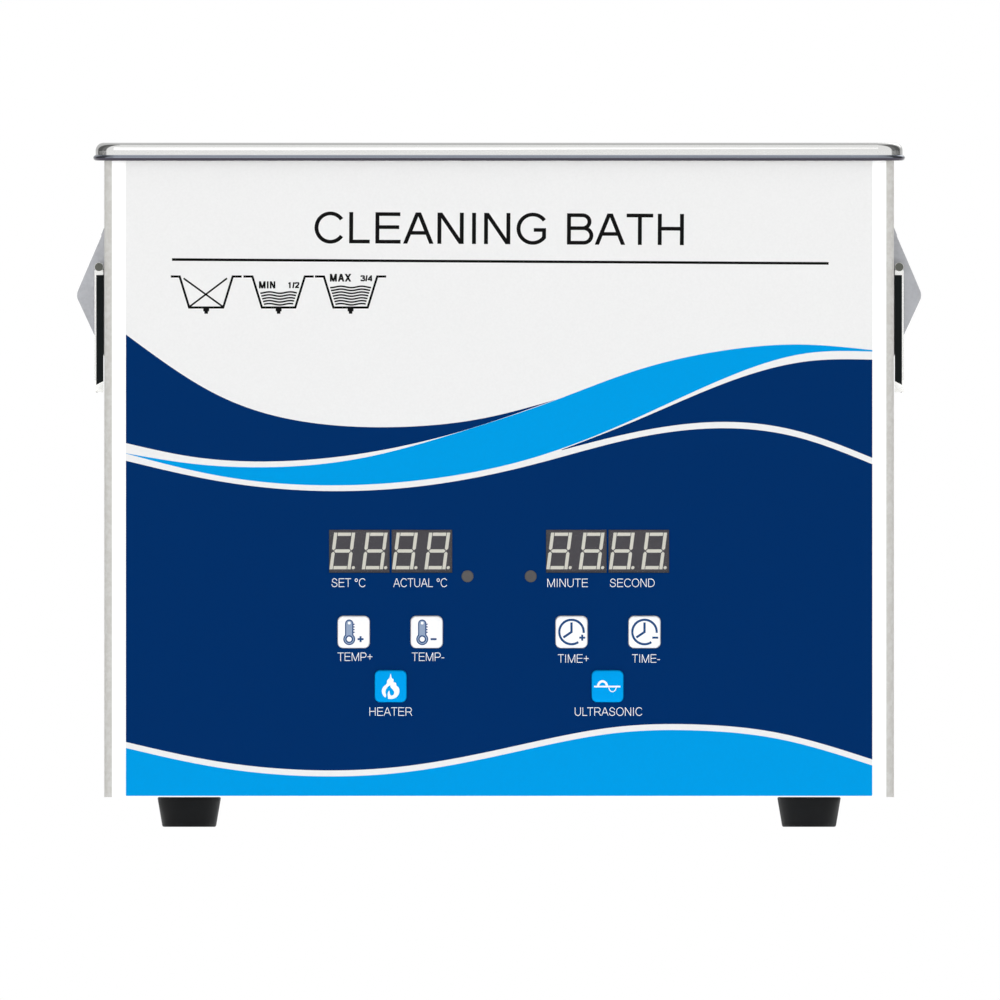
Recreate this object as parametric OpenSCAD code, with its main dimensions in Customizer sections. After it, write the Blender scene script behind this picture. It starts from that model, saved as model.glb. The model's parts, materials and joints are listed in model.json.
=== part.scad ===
// Ultrasonic cleaner of the 3 litre bench class.
// A stainless tank hangs by its rim in a folded sheet housing. Two transducers hang under the
// tank, the driver board and fan sit below, and a printed panel with six keys covers the front.
// The origin is the centre of the footprint on the table. +Z is up and the front faces -Y.

/* [Housing] */
// Width of the housing
body_w = 265; // [262:1:275]
// Depth of the housing
body_d = 165; // [163:1:172]
// Height of the top of the housing above the table
body_top = 225; // [222:1:232]
// Outer radius of the four upright bends
bend_r = 2.6; // [2:0.1:4]

/* [Tank] */
// Inside width of the tank
tank_w = 240; // [225:1:241]
// Inside depth of the tank, front to back
tank_d = 140; // [125:1:141]
// Inside height of the tank, rim to floor
tank_h = 100; // [92:1:102]
// Inside radius of the tank's upright corners
tank_corner_r = 20; // [14:1:28]
// How far the rim overhangs the housing on each side
rim_lap = 3.7; // [3.6:0.1:5]

/* [Feet] */
// Height of the rubber feet
foot_h = 10; // [9:0.5:12]
// Radius of a foot where it meets the base
foot_r_top = 10.7; // [9:0.1:12]
// Radius of a foot on the table
foot_r_bottom = 9; // [7:0.1:10]
// Distance of a foot's centre from the side of the housing
foot_inset = 28.5; // [24:0.5:34]

/* [Front panel] */
// Width of the printed panel
overlay_w = 250.5; // [240:0.5:254]
// Height of the centre of the four displays
display_z = 92.5; // [91:0.5:96]
// Height of the row of four keys
key_row_z = 65.4; // [64:0.2:67]
// Height of the row of two keys
lower_key_z = 47.2; // [46:0.2:49]
// Side of a square key
key_size = 10.6; // [9:0.1:11]
// How far a key travels
key_travel = 0.5; // [0.3:0.1:0.6]

/* [Handles] */
// Length of a handle, along the side of the housing
bail_len = 104; // [96:1:116]
// Height of the handle's hinge pins
pivot_z = 187.9; // [186:0.1:190]
// How far the handle stands out from the housing when it hangs
bail_out = 3.3; // [3.2:0.1:4]
// Distance from the hinge pins down to the lower edge of the handle
bail_drop = 42.1; // [42:0.1:46]

/* [Hidden] */
$fn = 64;

// Overshoot of a cutting body past the face that it opens
cut = 1;
// Thickness of the stainless sheet
sheet = 1;

// Housing
side_x = body_w / 2;
front_y = -body_d / 2;
back_y = body_d / 2;
body_bottom = foot_h;
inside_w = body_w - 2 * sheet;
inside_d = body_d - 2 * sheet;
inside_r = bend_r - sheet;
top_flange = 9;
bottom_flange = 12;
flange_z = body_bottom + sheet;
floor_z = body_bottom + sheet;

// Tank and rim. The rim's edge is a quarter round, a short skirt and a rolled bead that stands out.
rim_w = body_w + 2 * rim_lap;
rim_d = body_d + 2 * rim_lap;
rim_corner_r = 9;
rim_top = body_top + 4.6;
crown_r = 2.7;
crown_z = rim_top - crown_r;
bead_out = 0.8;
flat_inset = crown_r + bead_out;
bead_r = 0.95;
bead_z = body_top - 0.5;
lip_r = 3;
floor_r = 8;
tank_floor = rim_top - tank_h;
tank_under = tank_floor - sheet;
tank_side_x = tank_w / 2 + sheet;
tank_front_y = -tank_d / 2 - sheet;

// Fasteners
m3_r = 1.5;
m4_r = 2;
hole_gap = 0.1;
pan_head_r = 2.8;
pan_head_h = 1.8;
sunk_head_r = 2.7;

// Feet
foot_x = side_x - foot_inset;
foot_y = back_y - 22.5;
foot_recess = 6;

// Rear panel
rear_w = body_w - 5;
rear_bottom = body_bottom + 2;
rear_top = body_top - 3;
rear_face = back_y + sheet;
screw_inset = 7;
rear_screws = [
    [-side_x + screw_inset, body_bottom + 8], [0, body_bottom + 8], [side_x - screw_inset, body_bottom + 8],
    [-side_x + screw_inset, 118], [side_x - screw_inset, 118],
    [-side_x + screw_inset, body_top - 7], [0, body_top - 7], [side_x - screw_inset, body_top - 7]
];
base_screws = [
    [-side_x + screw_inset, front_y + 18], [-side_x + screw_inset, 0], [-side_x + screw_inset, back_y - 18],
    [side_x - screw_inset, front_y + 18], [side_x - screw_inset, 0], [side_x - screw_inset, back_y - 18],
    [0, front_y + screw_inset], [0, back_y - screw_inset]
];

// Front panel
overlay_t = 0.4;
overlay_bottom = body_bottom + 0.4;
overlay_top = body_top - 1.6;
overlay_face = front_y - overlay_t;
window_w = 20.4;
window_h = 14.5;
window_gap = 0.6;
display_x = 36.4;
window_xs = [
    -display_x - (window_w + window_gap) / 2, -display_x + (window_w + window_gap) / 2,
    display_x - (window_w + window_gap) / 2, display_x + (window_w + window_gap) / 2
];
lamp_x = 10.6;
lamp_z = display_z - 8.4;
lamp_r = 1.95;
outer_key_x = 48.8;
inner_key_x = 24.3;
lower_key_x = 36.4;
key_places = [
    [-outer_key_x, key_row_z], [-inner_key_x, key_row_z],
    [inner_key_x, key_row_z], [outer_key_x, key_row_z],
    [-lower_key_x, lower_key_z], [lower_key_x, lower_key_z]
];
key_r = 1.8;
key_gap = 0.2;
key_proud = 0.7;
key_face = overlay_face - key_proud;

// Control board behind the front panel
board_t = 1.6;
board_y = front_y + 10.5;
board_w = 120;
board_bottom = 38;
board_top = 108;
stud_r = 3;
control_studs = [[-56, 42], [56, 42], [-56, 104], [56, 104]];
switch_side = 6.2;
switch_h = 4.8;
plunger_r = 1.75;
plunger_depth = 0.8;

// Transducers, stacked down from the tank floor
transducer_x = 60;
horn_r = 29.5;
horn_h = 27;
stack_r = 22.5;
ring_bore_r = 7.5;
ring_h = 5;
electrode_h = 0.3;
mass_h = 18;
bolt_r = 5;
bolt_head_r = 8;
bolt_head_h = 6.5;
ring_top = tank_under - horn_h;
mass_top = ring_top - 3 * electrode_h - 2 * ring_h;
mass_bottom = mass_top - mass_h;

// Driver board on the base
driver_x = [-95, 40];
driver_y = [-50, 45];
driver_z = floor_z + 9;
driver_face = driver_z + board_t;
driver_studs = [[-90, -45], [35, -45], [-90, 40], [35, 40]];
sink_x = [-84, -20];
sink_y = [12, 45];

// Fan behind the rear panel
fan_x = -50;
fan_z = 60;
fan_side = 60;
fan_depth = 25;
fan_bore_r = 28.3;
fan_hole = 25;
fan_front = back_y - fan_depth;
hub_r = 12;
axle_r = 1.5;
axle_gap = 0.06;
blade_count = 7;

// Mains inlet and switch on the rear panel
inlet_x = 60;
inlet_z = 45;
inlet_face = rear_face + 2.2;
inlet_depth = 15;
inlet_back = inlet_face - 18;
inlet_tab_y = inlet_back - 9;
blade_gap = 7;
blade_offset = 2;
rocker_x = 60;
rocker_z = 85;
bezel_face = rear_face + 1.6;
rocker_pivot_y = rear_face - 3.6;
rocker_tilt = 10;
switch_back = rear_face - 19;
terminal_y = switch_back - 7;

// Handles, in the space outside one side of the housing: x is the distance from its wall
plate_t = 1;
plate_y = bail_len / 2 - 7.6;
bulge_y = 18;
bulge_out = 9.5;
bulge_z = 178.4;
plate_top = 201.2;
plate_bottom = 157.9;
bulge_wall = 2;
nose_r = 4;
arm_in = bail_len / 2 - 7;
arm_out = bail_len / 2;
bail_gap = 0.3;
pivot_x = 1.8;
pin_r = 0.8;
pin_head_r = 1.4;
barrel_r = 1.5;
strap_t = 0.6;
bail_bottom = pivot_z - bail_drop;
bar_top = bail_bottom + 8;
band_bottom = pivot_z - 2.7;
band_top = pivot_z - 1.1;
grip_y = arm_in - 5;
core_x = [0.9, 2.6];
core_z = [bail_bottom + 1.6, bail_bottom + 6.4];
rivet_y = 26;
rivet_zs = [165, 192];
rivet_r = 2;

// Points along an arc about a centre, from one angle to another
function arc(centre, r, from, to, steps) =
    [for (i = [0:steps])
        let(angle = from + (to - from) * i / steps)
            centre + r * [cos(angle), sin(angle)]];

// Flat shape: a rectangle about the origin with round corners
module rounded_rect(w, d, r) {
    square([w - 2 * r, d], center = true);
    square([w, d - 2 * r], center = true);
    for (sx = [-1, 1], sy = [-1, 1])
        translate([sx * (w / 2 - r), sy * (d / 2 - r)])
            circle(r);
}

// Flat shape: a quarter of a ring, turned about the origin
module quarter_ring(outer, inner, turn) {
    rotate(turn)
        intersection() {
            difference() {
                circle(outer);
                circle(inner);
            }
            square(outer + cut);
        }
}

// A slab with round upright corners between two heights
module slab(w, d, r, bottom, top) {
    translate([0, 0, bottom])
        linear_extrude(top - bottom)
            rounded_rect(w, d, r);
}

// Extrudes a flat (x, z) shape from y0 to y1
module along_y(y0, y1) {
    translate([0, y1, 0])
        rotate([90, 0, 0])
            linear_extrude(y1 - y0)
                children();
}

// Extrudes a flat (y, z) shape from x0 to x1
module along_x(x0, x1) {
    translate([x0, 0, 0])
        rotate([90, 0, 90])
            linear_extrude(x1 - x0)
                children();
}

// A box between two opposite corners
module block(low, high) {
    translate(low)
        cube(high - low);
}

// A round bar along Y, about a point given as (x, z)
module bar_y(place, r, y0, y1) {
    translate([place[0], y0, place[1]])
        rotate([-90, 0, 0])
            cylinder(r = r, h = y1 - y0);
}

// A round bar along Z, about a point given as (x, y)
module bar_z(place, r, z0, z1) {
    translate([place[0], place[1], z0])
        cylinder(r = r, h = z1 - z0);
}

// Sweeps a flat (u, z) profile round a rounded rectangle, with u = 0 on its outline
module ring_sweep(w, d, r) {
    for (q = [0:3])
        translate([[1, -1, -1, 1][q] * (w / 2 - r), [1, 1, -1, -1][q] * (d / 2 - r), 0])
            rotate(q * 90)
                rotate_extrude(angle = 90)
                    translate([r, 0])
                        children();
    for (turn = [0, 180]) {
        rotate(turn)
            translate([w / 2, 0, 0])
                rotate([90, 0, 0])
                    linear_extrude(d - 2 * r, center = true)
                        children();
        rotate(turn + 90)
            translate([d / 2, 0, 0])
                rotate([90, 0, 0])
                    linear_extrude(w - 2 * r, center = true)
                        children();
    }
}

// Flat shapes of the openings that the overlay and the housing share
module key_openings() {
    for (place = key_places)
        translate(place)
            rounded_rect(key_size + 2 * key_gap, key_size + 2 * key_gap, key_r + key_gap);
}

// Places a handle's pieces outside the left (-1) or right (1) side of the housing
module on_side(side) {
    mirror([side < 0 ? 1 : 0, 0, 0])
        translate([side_x, 0, 0])
            children();
}

// ---- Casing ----

module housing() {
    color("gainsboro")
        difference() {
            slab(body_w, body_d, bend_r, body_bottom, body_top);
            slab(inside_w, inside_d, inside_r, flange_z + sheet, body_top - sheet);
            slab(inside_w, inside_d, inside_r, body_bottom - cut, flange_z);
            slab(
                inside_w - 2 * top_flange, inside_d - 2 * top_flange, 12,
                body_top - sheet - cut, body_top + cut
            );
            slab(
                inside_w - 2 * bottom_flange, inside_d - 2 * bottom_flange, 4,
                body_bottom, flange_z + sheet + cut
            );
            rear_opening();
            along_y(front_y - cut, front_y + sheet + cut)
                panel_cutouts();
            for (place = rear_screws)
                bar_y(place, m3_r + hole_gap, back_y - sheet - cut, back_y + cut);
            for (place = base_screws)
                bar_z(place, m3_r + hole_gap, body_bottom, flange_z + sheet + cut);
            for (side = [-1, 1], y = [-rivet_y, rivet_y], z = rivet_zs)
                on_side(side)
                    translate([-sheet - cut, y, z])
                        rotate([0, 90, 0])
                            cylinder(r = rivet_r + hole_gap, h = sheet + 2 * cut);
        }
}

module rear_opening() {
    block(
        [-inside_w / 2 + bottom_flange, back_y - sheet - cut, flange_z + sheet + bottom_flange],
        [inside_w / 2 - bottom_flange, back_y + cut, body_top - sheet - bottom_flange]
    );
}

module panel_cutouts() {
    for (side = [-1, 1])
        translate([side * display_x, display_z])
            square([2 * window_w + window_gap + 0.6, window_h + 0.6], center = true);
    key_openings();
    for (side = [-1, 1])
        translate([side * lamp_x, lamp_z])
            circle(lamp_r + hole_gap);
}

module rear_panel() {
    color("silver")
        difference() {
            along_y(back_y, rear_face)
                translate([0, (rear_bottom + rear_top) / 2])
                    rounded_rect(rear_w, rear_top - rear_bottom, 2);
            for (place = rear_screws)
                bar_y(place, m3_r + hole_gap, back_y - cut, rear_face + cut);
            fan_guard_holes();
            for (sx = [-1, 1], sz = [-1, 1])
                bar_y(
                    [fan_x + sx * fan_hole, fan_z + sz * fan_hole],
                    m4_r + hole_gap, back_y - cut, rear_face + cut
                );
            along_y(back_y - cut, rear_face + cut)
                translate([inlet_x, inlet_z])
                    square([27.8, 20.4], center = true);
            for (sx = [-1, 1])
                bar_y([inlet_x + sx * 20, inlet_z], m3_r + hole_gap, back_y - cut, rear_face + cut);
            along_y(back_y - cut, rear_face + cut)
                translate([rocker_x, rocker_z])
                    square([13.4, 19.6], center = true);
        }
}

// Three rings of round holes about a centre hole
module fan_guard_holes() {
    bar_y([fan_x, fan_z], 2.7, back_y - cut, rear_face + cut);
    for (ring = [1:3], i = [0:6 * ring - 1])
        bar_y(
            [fan_x + 7.6 * ring * cos(60 * i / ring), fan_z + 7.6 * ring * sin(60 * i / ring)],
            2.7, back_y - cut, rear_face + cut
        );
}

module base_plate() {
    color("silver")
        difference() {
            slab(inside_w - 0.6, inside_d - 0.6, 1.3, body_bottom, floor_z);
            for (place = base_screws) {
                bar_z(place, m3_r + hole_gap, body_bottom - cut, floor_z + cut);
                translate([place[0], place[1], body_bottom - 0.1])
                    cylinder(r1 = sunk_head_r + 0.2, r2 = m3_r + hole_gap, h = sheet);
            }
            for (sx = [-1, 1], sy = [-1, 1])
                bar_z([sx * foot_x, sy * foot_y], m4_r + hole_gap, body_bottom - cut, floor_z + cut);
            for (x = [-80:20:80], row = [-1, 1])
                translate([x, row * 20, body_bottom - cut])
                    linear_extrude(sheet + 2 * cut)
                        rounded_rect(3.6, 30, 1.7);
        }
}

// The deep drawn tank: floor, walls, flat rim and the turned down edge
module tank() {
    color("lightgray")
        union() {
            slab(
                tank_w - 2 * floor_r, tank_d - 2 * floor_r, tank_corner_r - floor_r,
                tank_under, tank_floor
            );
            ring_sweep(tank_w, tank_d, tank_corner_r)
                tank_wall_profile();
            difference() {
                slab(
                    rim_w - 2 * flat_inset, rim_d - 2 * flat_inset, rim_corner_r - flat_inset,
                    rim_top - sheet, rim_top
                );
                slab(
                    tank_w + 2 * lip_r, tank_d + 2 * lip_r, tank_corner_r + lip_r,
                    rim_top - 2 * sheet, rim_top + cut
                );
            }
            ring_sweep(rim_w, rim_d, rim_corner_r)
                rim_edge_profile();
        }
}

module tank_wall_profile() {
    translate([lip_r, rim_top - lip_r])
        quarter_ring(lip_r, lip_r - sheet, 90);
    translate([0, tank_floor + floor_r])
        square([sheet, tank_h - floor_r - lip_r]);
    translate([-floor_r, tank_floor + floor_r])
        quarter_ring(floor_r + sheet, floor_r, -90);
}

module rim_edge_profile() {
    translate([-flat_inset, crown_z])
        quarter_ring(crown_r, crown_r - sheet, 0);
    translate([-bead_out - sheet, bead_z])
        square([sheet, crown_z - bead_z]);
    translate([-bead_r, bead_z])
        circle(bead_r);
}

module rim_seal() {
    color("dimgray")
        difference() {
            slab(body_w - 3, body_d - 3, 2, body_top, rim_top - sheet);
            slab(tank_w + 8, tank_d + 8, tank_corner_r, body_top - cut, rim_top);
        }
}

// ---- Feet and casing screws ----

// A tapered rubber foot with a recess for its screw's head
module foot(sx, sy) {
    color("#202124")
        translate([sx * foot_x, sy * foot_y, 0])
            difference() {
                cylinder(r1 = foot_r_bottom, r2 = foot_r_top, h = foot_h);
                translate([0, 0, -cut])
                    cylinder(r = 5, h = foot_recess + cut);
                cylinder(r = m4_r + hole_gap, h = foot_h + cut);
            }
}

module foot_front_left() { foot(-1, -1); }
module foot_front_right() { foot(1, -1); }
module foot_rear_left() { foot(-1, 1); }
module foot_rear_right() { foot(1, 1); }

// A screw and its nut for each foot
module foot_screws() {
    color("gray")
        for (sx = [-1, 1], sy = [-1, 1])
            translate([sx * foot_x, sy * foot_y, 0]) {
                difference() {
                    union() {
                        bar_z([0, 0], 3.8, foot_recess - 2.4, foot_recess);
                        bar_z([0, 0], m4_r, foot_recess, floor_z + 5);
                    }
                    translate([-2.5, -0.5, foot_recess - 2.4 - cut])
                        cube([5, 1, cut + 1]);
                }
                translate([0, 0, floor_z])
                    difference() {
                        cylinder(r = 4, h = 3.2, $fn = 6);
                        translate([0, 0, -cut])
                            cylinder(r = m4_r + 0.05, h = 3.2 + 2 * cut);
                    }
            }
}

// A pan head screw along +Z, with its head below z = 0
module pan_screw(length) {
    difference() {
        union() {
            translate([0, 0, -pan_head_h])
                cylinder(r = pan_head_r, h = pan_head_h);
            cylinder(r = m3_r, h = length);
        }
        for (turn = [0, 90])
            rotate(turn)
                translate([-1.6, -0.35, -pan_head_h - cut])
                    cube([3.2, 0.7, cut + 0.9]);
    }
}

module casing_screws() {
    color("darkgray") {
        for (place = base_screws)
            translate([place[0], place[1], body_bottom + 0.05])
                countersunk_screw(4, 0.8);
        for (place = rear_screws)
            translate([place[0], rear_face, place[1]])
                rotate([90, 0, 0])
                    pan_screw(4);
        for (sx = [-1, 1])
            translate([inlet_x + sx * 20, inlet_face, inlet_z])
                rotate([90, 0, 0])
                    countersunk_screw(6, 1.2);
    }
}

// A countersunk screw along +Z, with its flat head flush with z = 0
module countersunk_screw(length, head_h) {
    difference() {
        union() {
            cylinder(r1 = sunk_head_r, r2 = m3_r, h = head_h);
            cylinder(r = m3_r, h = length);
        }
        translate([-1.6, -0.35, -cut])
            cube([3.2, 0.7, cut + 0.6]);
    }
}

// ---- Front panel, keys and displays ----

module panel_overlay() {
    color("#002f67")
        along_y(overlay_face, front_y)
            difference() {
                translate([0, (overlay_bottom + overlay_top) / 2])
                    rounded_rect(overlay_w, overlay_top - overlay_bottom, 0.3);
                for (x = window_xs)
                    translate([x, display_z])
                        square([window_w, window_h], center = true);
                key_openings();
                for (side = [-1, 1])
                    translate([side * lamp_x, lamp_z])
                        circle(lamp_r + hole_gap);
            }
}

module display_windows() {
    color("slategray")
        for (x = window_xs)
            along_y(overlay_face, front_y)
                translate([x, display_z])
                    square([window_w - 0.04, window_h - 0.04], center = true);
}

// A key: the cap in the panel, a flange that keeps it in, and the plunger behind it
module key(place) {
    flange_face = front_y + sheet + 0.15;
    flange_back = flange_face + 0.8;
    plunger_tip = board_y - switch_h + plunger_depth;
    along_y(key_face, flange_face)
        translate(place)
            rounded_rect(key_size, key_size, key_r);
    along_y(flange_face, flange_back)
        translate(place)
            rounded_rect(key_size + 2.4, key_size + 2.4, key_r + 1);
    bar_y(place, plunger_r, flange_back, plunger_tip);
}

module key_temp_up() { color("white") key(key_places[0]); }
module key_temp_down() { color("white") key(key_places[1]); }
module key_time_up() { color("white") key(key_places[2]); }
module key_time_down() { color("white") key(key_places[3]); }
module key_heater() { color("#00a0e9") key(key_places[4]); }
module key_ultrasonic() { color("#00a0e9") key(key_places[5]); }

module control_board() {
    color("darkgreen")
        union() {
            along_y(board_y, board_y + board_t)
                difference() {
                    translate([-board_w / 2, board_bottom])
                        square([board_w, board_top - board_bottom]);
                    for (place = control_studs)
                        translate(place)
                            circle(m3_r + hole_gap);
                }
            block([-10, board_y + board_t, 40], [10, board_y + board_t + 6, 48]);
            block([-9, board_y + board_t, 62], [9, board_y + board_t + 2.2, 80]);
        }
}

// Two digit modules side by side, standing on the control board by their pins
module display_pair(xs) {
    color("#4c4c50")
        for (x = xs) {
            block(
                [x - window_w / 2 + 0.1, front_y + 0.2, display_z - window_h / 2 + 0.1],
                [x + window_w / 2 - 0.1, board_y - 1.5, display_z + window_h / 2 - 0.1]
            );
            for (i = [-2:2], row = [-1, 1])
                bar_y([x + 2.54 * i, display_z + row * 5.6], 0.35, board_y - 1.6, board_y);
        }
}

module display_left() { display_pair([window_xs[0], window_xs[1]]); }
module display_right() { display_pair([window_xs[2], window_xs[3]]); }

// Switch bodies on the control board, each bored for a key's plunger
module tact_switches() {
    color("#303030")
        for (place = key_places)
            difference() {
                along_y(board_y - switch_h, board_y)
                    translate(place)
                        square(switch_side, center = true);
                bar_y(
                    place, plunger_r + 0.05,
                    board_y - switch_h - cut, board_y - switch_h + plunger_depth + key_travel + 0.2
                );
            }
}

module status_leds() {
    color("#4a4540")
        for (side = [-1, 1])
            bar_y([side * lamp_x, lamp_z], lamp_r, overlay_face - 0.05, board_y);
}

module board_standoffs() {
    color("goldenrod") {
        for (place = control_studs)
            difference() {
                bar_y(place, stud_r, front_y + sheet, board_y);
                bar_y(place, m3_r, board_y - 6, board_y + cut);
            }
        for (place = driver_studs)
            difference() {
                bar_z(place, stud_r, floor_z, driver_z);
                bar_z(place, m3_r, driver_z - 6, driver_z + cut);
            }
    }
}

module board_screws() {
    color("gray") {
        for (place = control_studs) {
            bar_y(place, pan_head_r, board_y + board_t, board_y + board_t + pan_head_h);
            bar_y(place, m3_r - 0.05, board_y - 5, board_y + board_t);
        }
        for (place = driver_studs) {
            bar_z(place, pan_head_r, driver_face, driver_face + pan_head_h);
            bar_z(place, m3_r - 0.05, driver_z - 5, driver_face);
        }
    }
}

// ---- Transducers, heater and probes ----

module under_tank(side) {
    translate([side * transducer_x, 0, 0])
        children();
}

// Aluminium front mass, bonded to the tank floor and tapped for the bolt
module horn() {
    color("lightsteelblue")
        difference() {
            translate([0, 0, ring_top])
                rotate_extrude()
                    polygon([
                        [0, 0], [stack_r, 0], [stack_r, 5], [horn_r, 22], [horn_r, horn_h], [0, horn_h]
                    ]);
            bar_z([0, 0], bolt_r + 0.05, ring_top - cut, ring_top + 18);
        }
}

module horn_left() { under_tank(-1) horn(); }
module horn_right() { under_tank(1) horn(); }

module disc_ring(top, h) {
    translate([0, 0, top - h])
        linear_extrude(h)
            difference() {
                circle(stack_r);
                circle(ring_bore_r);
            }
}

module piezo_rings() {
    color("dimgray")
        for (i = [0, 1])
            disc_ring(ring_top - electrode_h - i * (ring_h + electrode_h), ring_h);
}

module piezo_rings_left() { under_tank(-1) piezo_rings(); }
module piezo_rings_right() { under_tank(1) piezo_rings(); }

// Thin brass rings between the ceramics, each with a solder tab
module electrodes() {
    color("goldenrod")
        for (side = [-1, 1], i = [0:2])
            under_tank(side)
                translate([0, 0, ring_top - electrode_h - i * (ring_h + electrode_h)])
                    linear_extrude(electrode_h)
                        union() {
                            difference() {
                                circle(stack_r);
                                circle(ring_bore_r);
                            }
                            translate([-3, -stack_r - 8])
                                square([6, 9]);
                        }
}

module back_mass() {
    color("slategray")
        difference() {
            bar_z([0, 0], stack_r, mass_bottom, mass_top);
            bar_z([0, 0], bolt_r + 0.1, mass_bottom - cut, mass_top + cut);
        }
}

module back_mass_left() { under_tank(-1) back_mass(); }
module back_mass_right() { under_tank(1) back_mass(); }

module transducer_bolts() {
    color("gray")
        for (side = [-1, 1])
            under_tank(side)
                difference() {
                    union() {
                        bar_z([0, 0], bolt_head_r, mass_bottom - bolt_head_h, mass_bottom);
                        bar_z([0, 0], bolt_r, mass_bottom, ring_top + 16);
                    }
                    translate([0, 0, mass_bottom - bolt_head_h - cut])
                        cylinder(r = 4.6, h = cut + 4, $fn = 6);
                }
}

module heater_pads() {
    color("orangered")
        for (side = [-1, 1])
            translate([0, side * (-tank_front_y + 1.25), tank_floor + 33])
                cube([170, 2.5, 45], center = true);
}

// Sensor tube in an aluminium saddle on the right wall of the tank
module temperature_probe() {
    color("peru") {
        difference() {
            block([tank_side_x, -5, 142], [tank_side_x + 7, 5, 160]);
            bar_z([tank_side_x + 3.5, 0], 2.5, 142 - cut, 160 + cut);
        }
        bar_z([tank_side_x + 3.5, 0], 2.45, 138, 163);
    }
}

// Snap disc on the left wall of the tank, with two terminals
module thermal_cutout() {
    color("#303030")
        union() {
            translate([-tank_side_x - 6, 0, 155])
                rotate([0, 90, 0])
                    cylinder(r = 8, h = 6);
            for (sy = [-1, 1])
                block([-tank_side_x - 9, sy * 4 - 0.4, 152], [-tank_side_x - 6, sy * 4 + 0.4, 158]);
        }
}

// ---- Driver electronics ----

module driver_board() {
    color("darkgreen")
        difference() {
            union() {
                block([driver_x[0], driver_y[0], driver_z], [driver_x[1], driver_y[1], driver_face]);
                block([-10, -49, driver_face], [10, -43, driver_face + 8]);
            }
            for (place = driver_studs)
                bar_z(place, m3_r + hole_gap, driver_z - cut, driver_face + cut);
        }
}

module heatsink() {
    color("silver")
        union() {
            block([sink_x[0], sink_y[0], driver_face], [sink_x[1], sink_y[0] + 4, driver_face + 38]);
            for (i = [0:7])
                translate([sink_x[0] + i * (sink_x[1] - sink_x[0] - 2) / 7, sink_y[0] + 3, driver_face])
                    cube([2, sink_y[1] - sink_y[0] - 3, 38]);
        }
}

module power_transistors() {
    color("#252525")
        for (x = [-76, -60, -44, -28])
            union() {
                block([x - 7.8, sink_y[0] - 5, driver_face + 8], [x + 7.8, sink_y[0], driver_face + 29]);
                for (i = [-1:1])
                    block(
                        [x + 5.4 * i - 0.6, sink_y[0] - 3, driver_face],
                        [x + 5.4 * i + 0.6, sink_y[0] - 2.4, driver_face + 8.5]
                    );
            }
}

// Ferrite core with its winding round the middle leg
module output_transformer() {
    color("#3a3532")
        difference() {
            block([2, 10, driver_face], [34, 36, driver_face + 32]);
            block([7, 9, driver_face + 6], [14, 37, driver_face + 26]);
            block([22, 9, driver_face + 6], [29, 37, driver_face + 26]);
        }
    color("peru")
        difference() {
            block([7.3, 6, driver_face + 6.3], [28.7, 40, driver_face + 25.7]);
            block([13.8, 9.8, driver_face], [22.2, 36.2, driver_face + 32]);
        }
}

module tuning_coil() {
    color("chocolate")
        translate([15, -22, driver_face + 5.5])
            rotate_extrude()
                translate([12, 0])
                    circle(5.5);
}

module driver_capacitors() {
    color("navy") {
        for (x = [-78, -54, -30])
            bar_z([x, -26], 9.5, driver_face, driver_face + 34);
        block([-85, -44, driver_face], [-69, -38, driver_face + 12]);
        block([-44, -44, driver_face], [-28, -38, driver_face + 12]);
    }
}

// ---- Fan ----

// Fan housing: two square flanges, a round barrel, and struts that carry the axle
module fan_frame() {
    color("#1e1e1e")
        translate([fan_x, 0, fan_z])
            difference() {
                union() {
                    difference() {
                        union() {
                            along_y(fan_front, fan_front + 3.5)
                                rounded_rect(fan_side, fan_side, 3);
                            along_y(back_y - 3.5, back_y)
                                rounded_rect(fan_side, fan_side, 3);
                            bar_y([0, 0], 29.7, fan_front + 1, back_y - 1);
                        }
                        bar_y([0, 0], fan_bore_r, fan_front - cut, back_y + cut);
                    }
                    bar_y([0, 0], hub_r, fan_front, fan_front + 3);
                    for (turn = [30, 150, 270])
                        rotate([0, turn, 0])
                            block([hub_r - 2, fan_front, -2], [fan_bore_r + 0.5, fan_front + 3, 2]);
                    bar_y([0, 0], axle_r, fan_front, back_y - 7);
                }
                for (sx = [-1, 1], sz = [-1, 1])
                    bar_y([sx * fan_hole, sz * fan_hole], m4_r + hole_gap, fan_front - cut, back_y + cut);
            }
}

// Hub and pitched blades, bored for the axle
module fan_rotor() {
    rotor_front = fan_front + 4;
    rotor_back = back_y - 4;
    color("#2c2c2c")
        translate([fan_x, 0, fan_z])
            difference() {
                union() {
                    bar_y([0, 0], hub_r, rotor_front, rotor_back);
                    intersection() {
                        bar_y([0, 0], fan_bore_r - 1, rotor_front + 0.5, rotor_back - 0.5);
                        for (i = [0:blade_count - 1])
                            rotate([0, i * 360 / blade_count, 0])
                                translate([19, (rotor_front + rotor_back) / 2, 0])
                                    rotate([38, 0, 0])
                                        cube([19, 22, 1.4], center = true);
                    }
                }
                bar_y([0, 0], axle_r + axle_gap, rotor_front - cut, back_y - 6);
            }
}

module fan_screws() {
    color("gray")
        for (sx = [-1, 1], sz = [-1, 1])
            translate([fan_x + sx * fan_hole, rear_face, fan_z + sz * fan_hole])
                rotate([90, 0, 0])
                    difference() {
                        union() {
                            translate([0, 0, -2])
                                cylinder(r = 3.5, h = 2);
                            cylinder(r = m4_r, h = 12);
                        }
                        translate([-2.2, -0.4, -2 - cut])
                            cube([4.4, 0.8, cut + 1]);
                    }
}

// ---- Mains inlet and switch ----

// Flat shape of the inlet's cavity, with two bevelled corners
module inlet_outline(grow) {
    w = 12 + grow;
    h = 8.1 + grow;
    polygon([[-w, -h], [w, -h], [w, h - 5], [w - 5, h], [-w + 5, h], [-w, h - 5]]);
}

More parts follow.
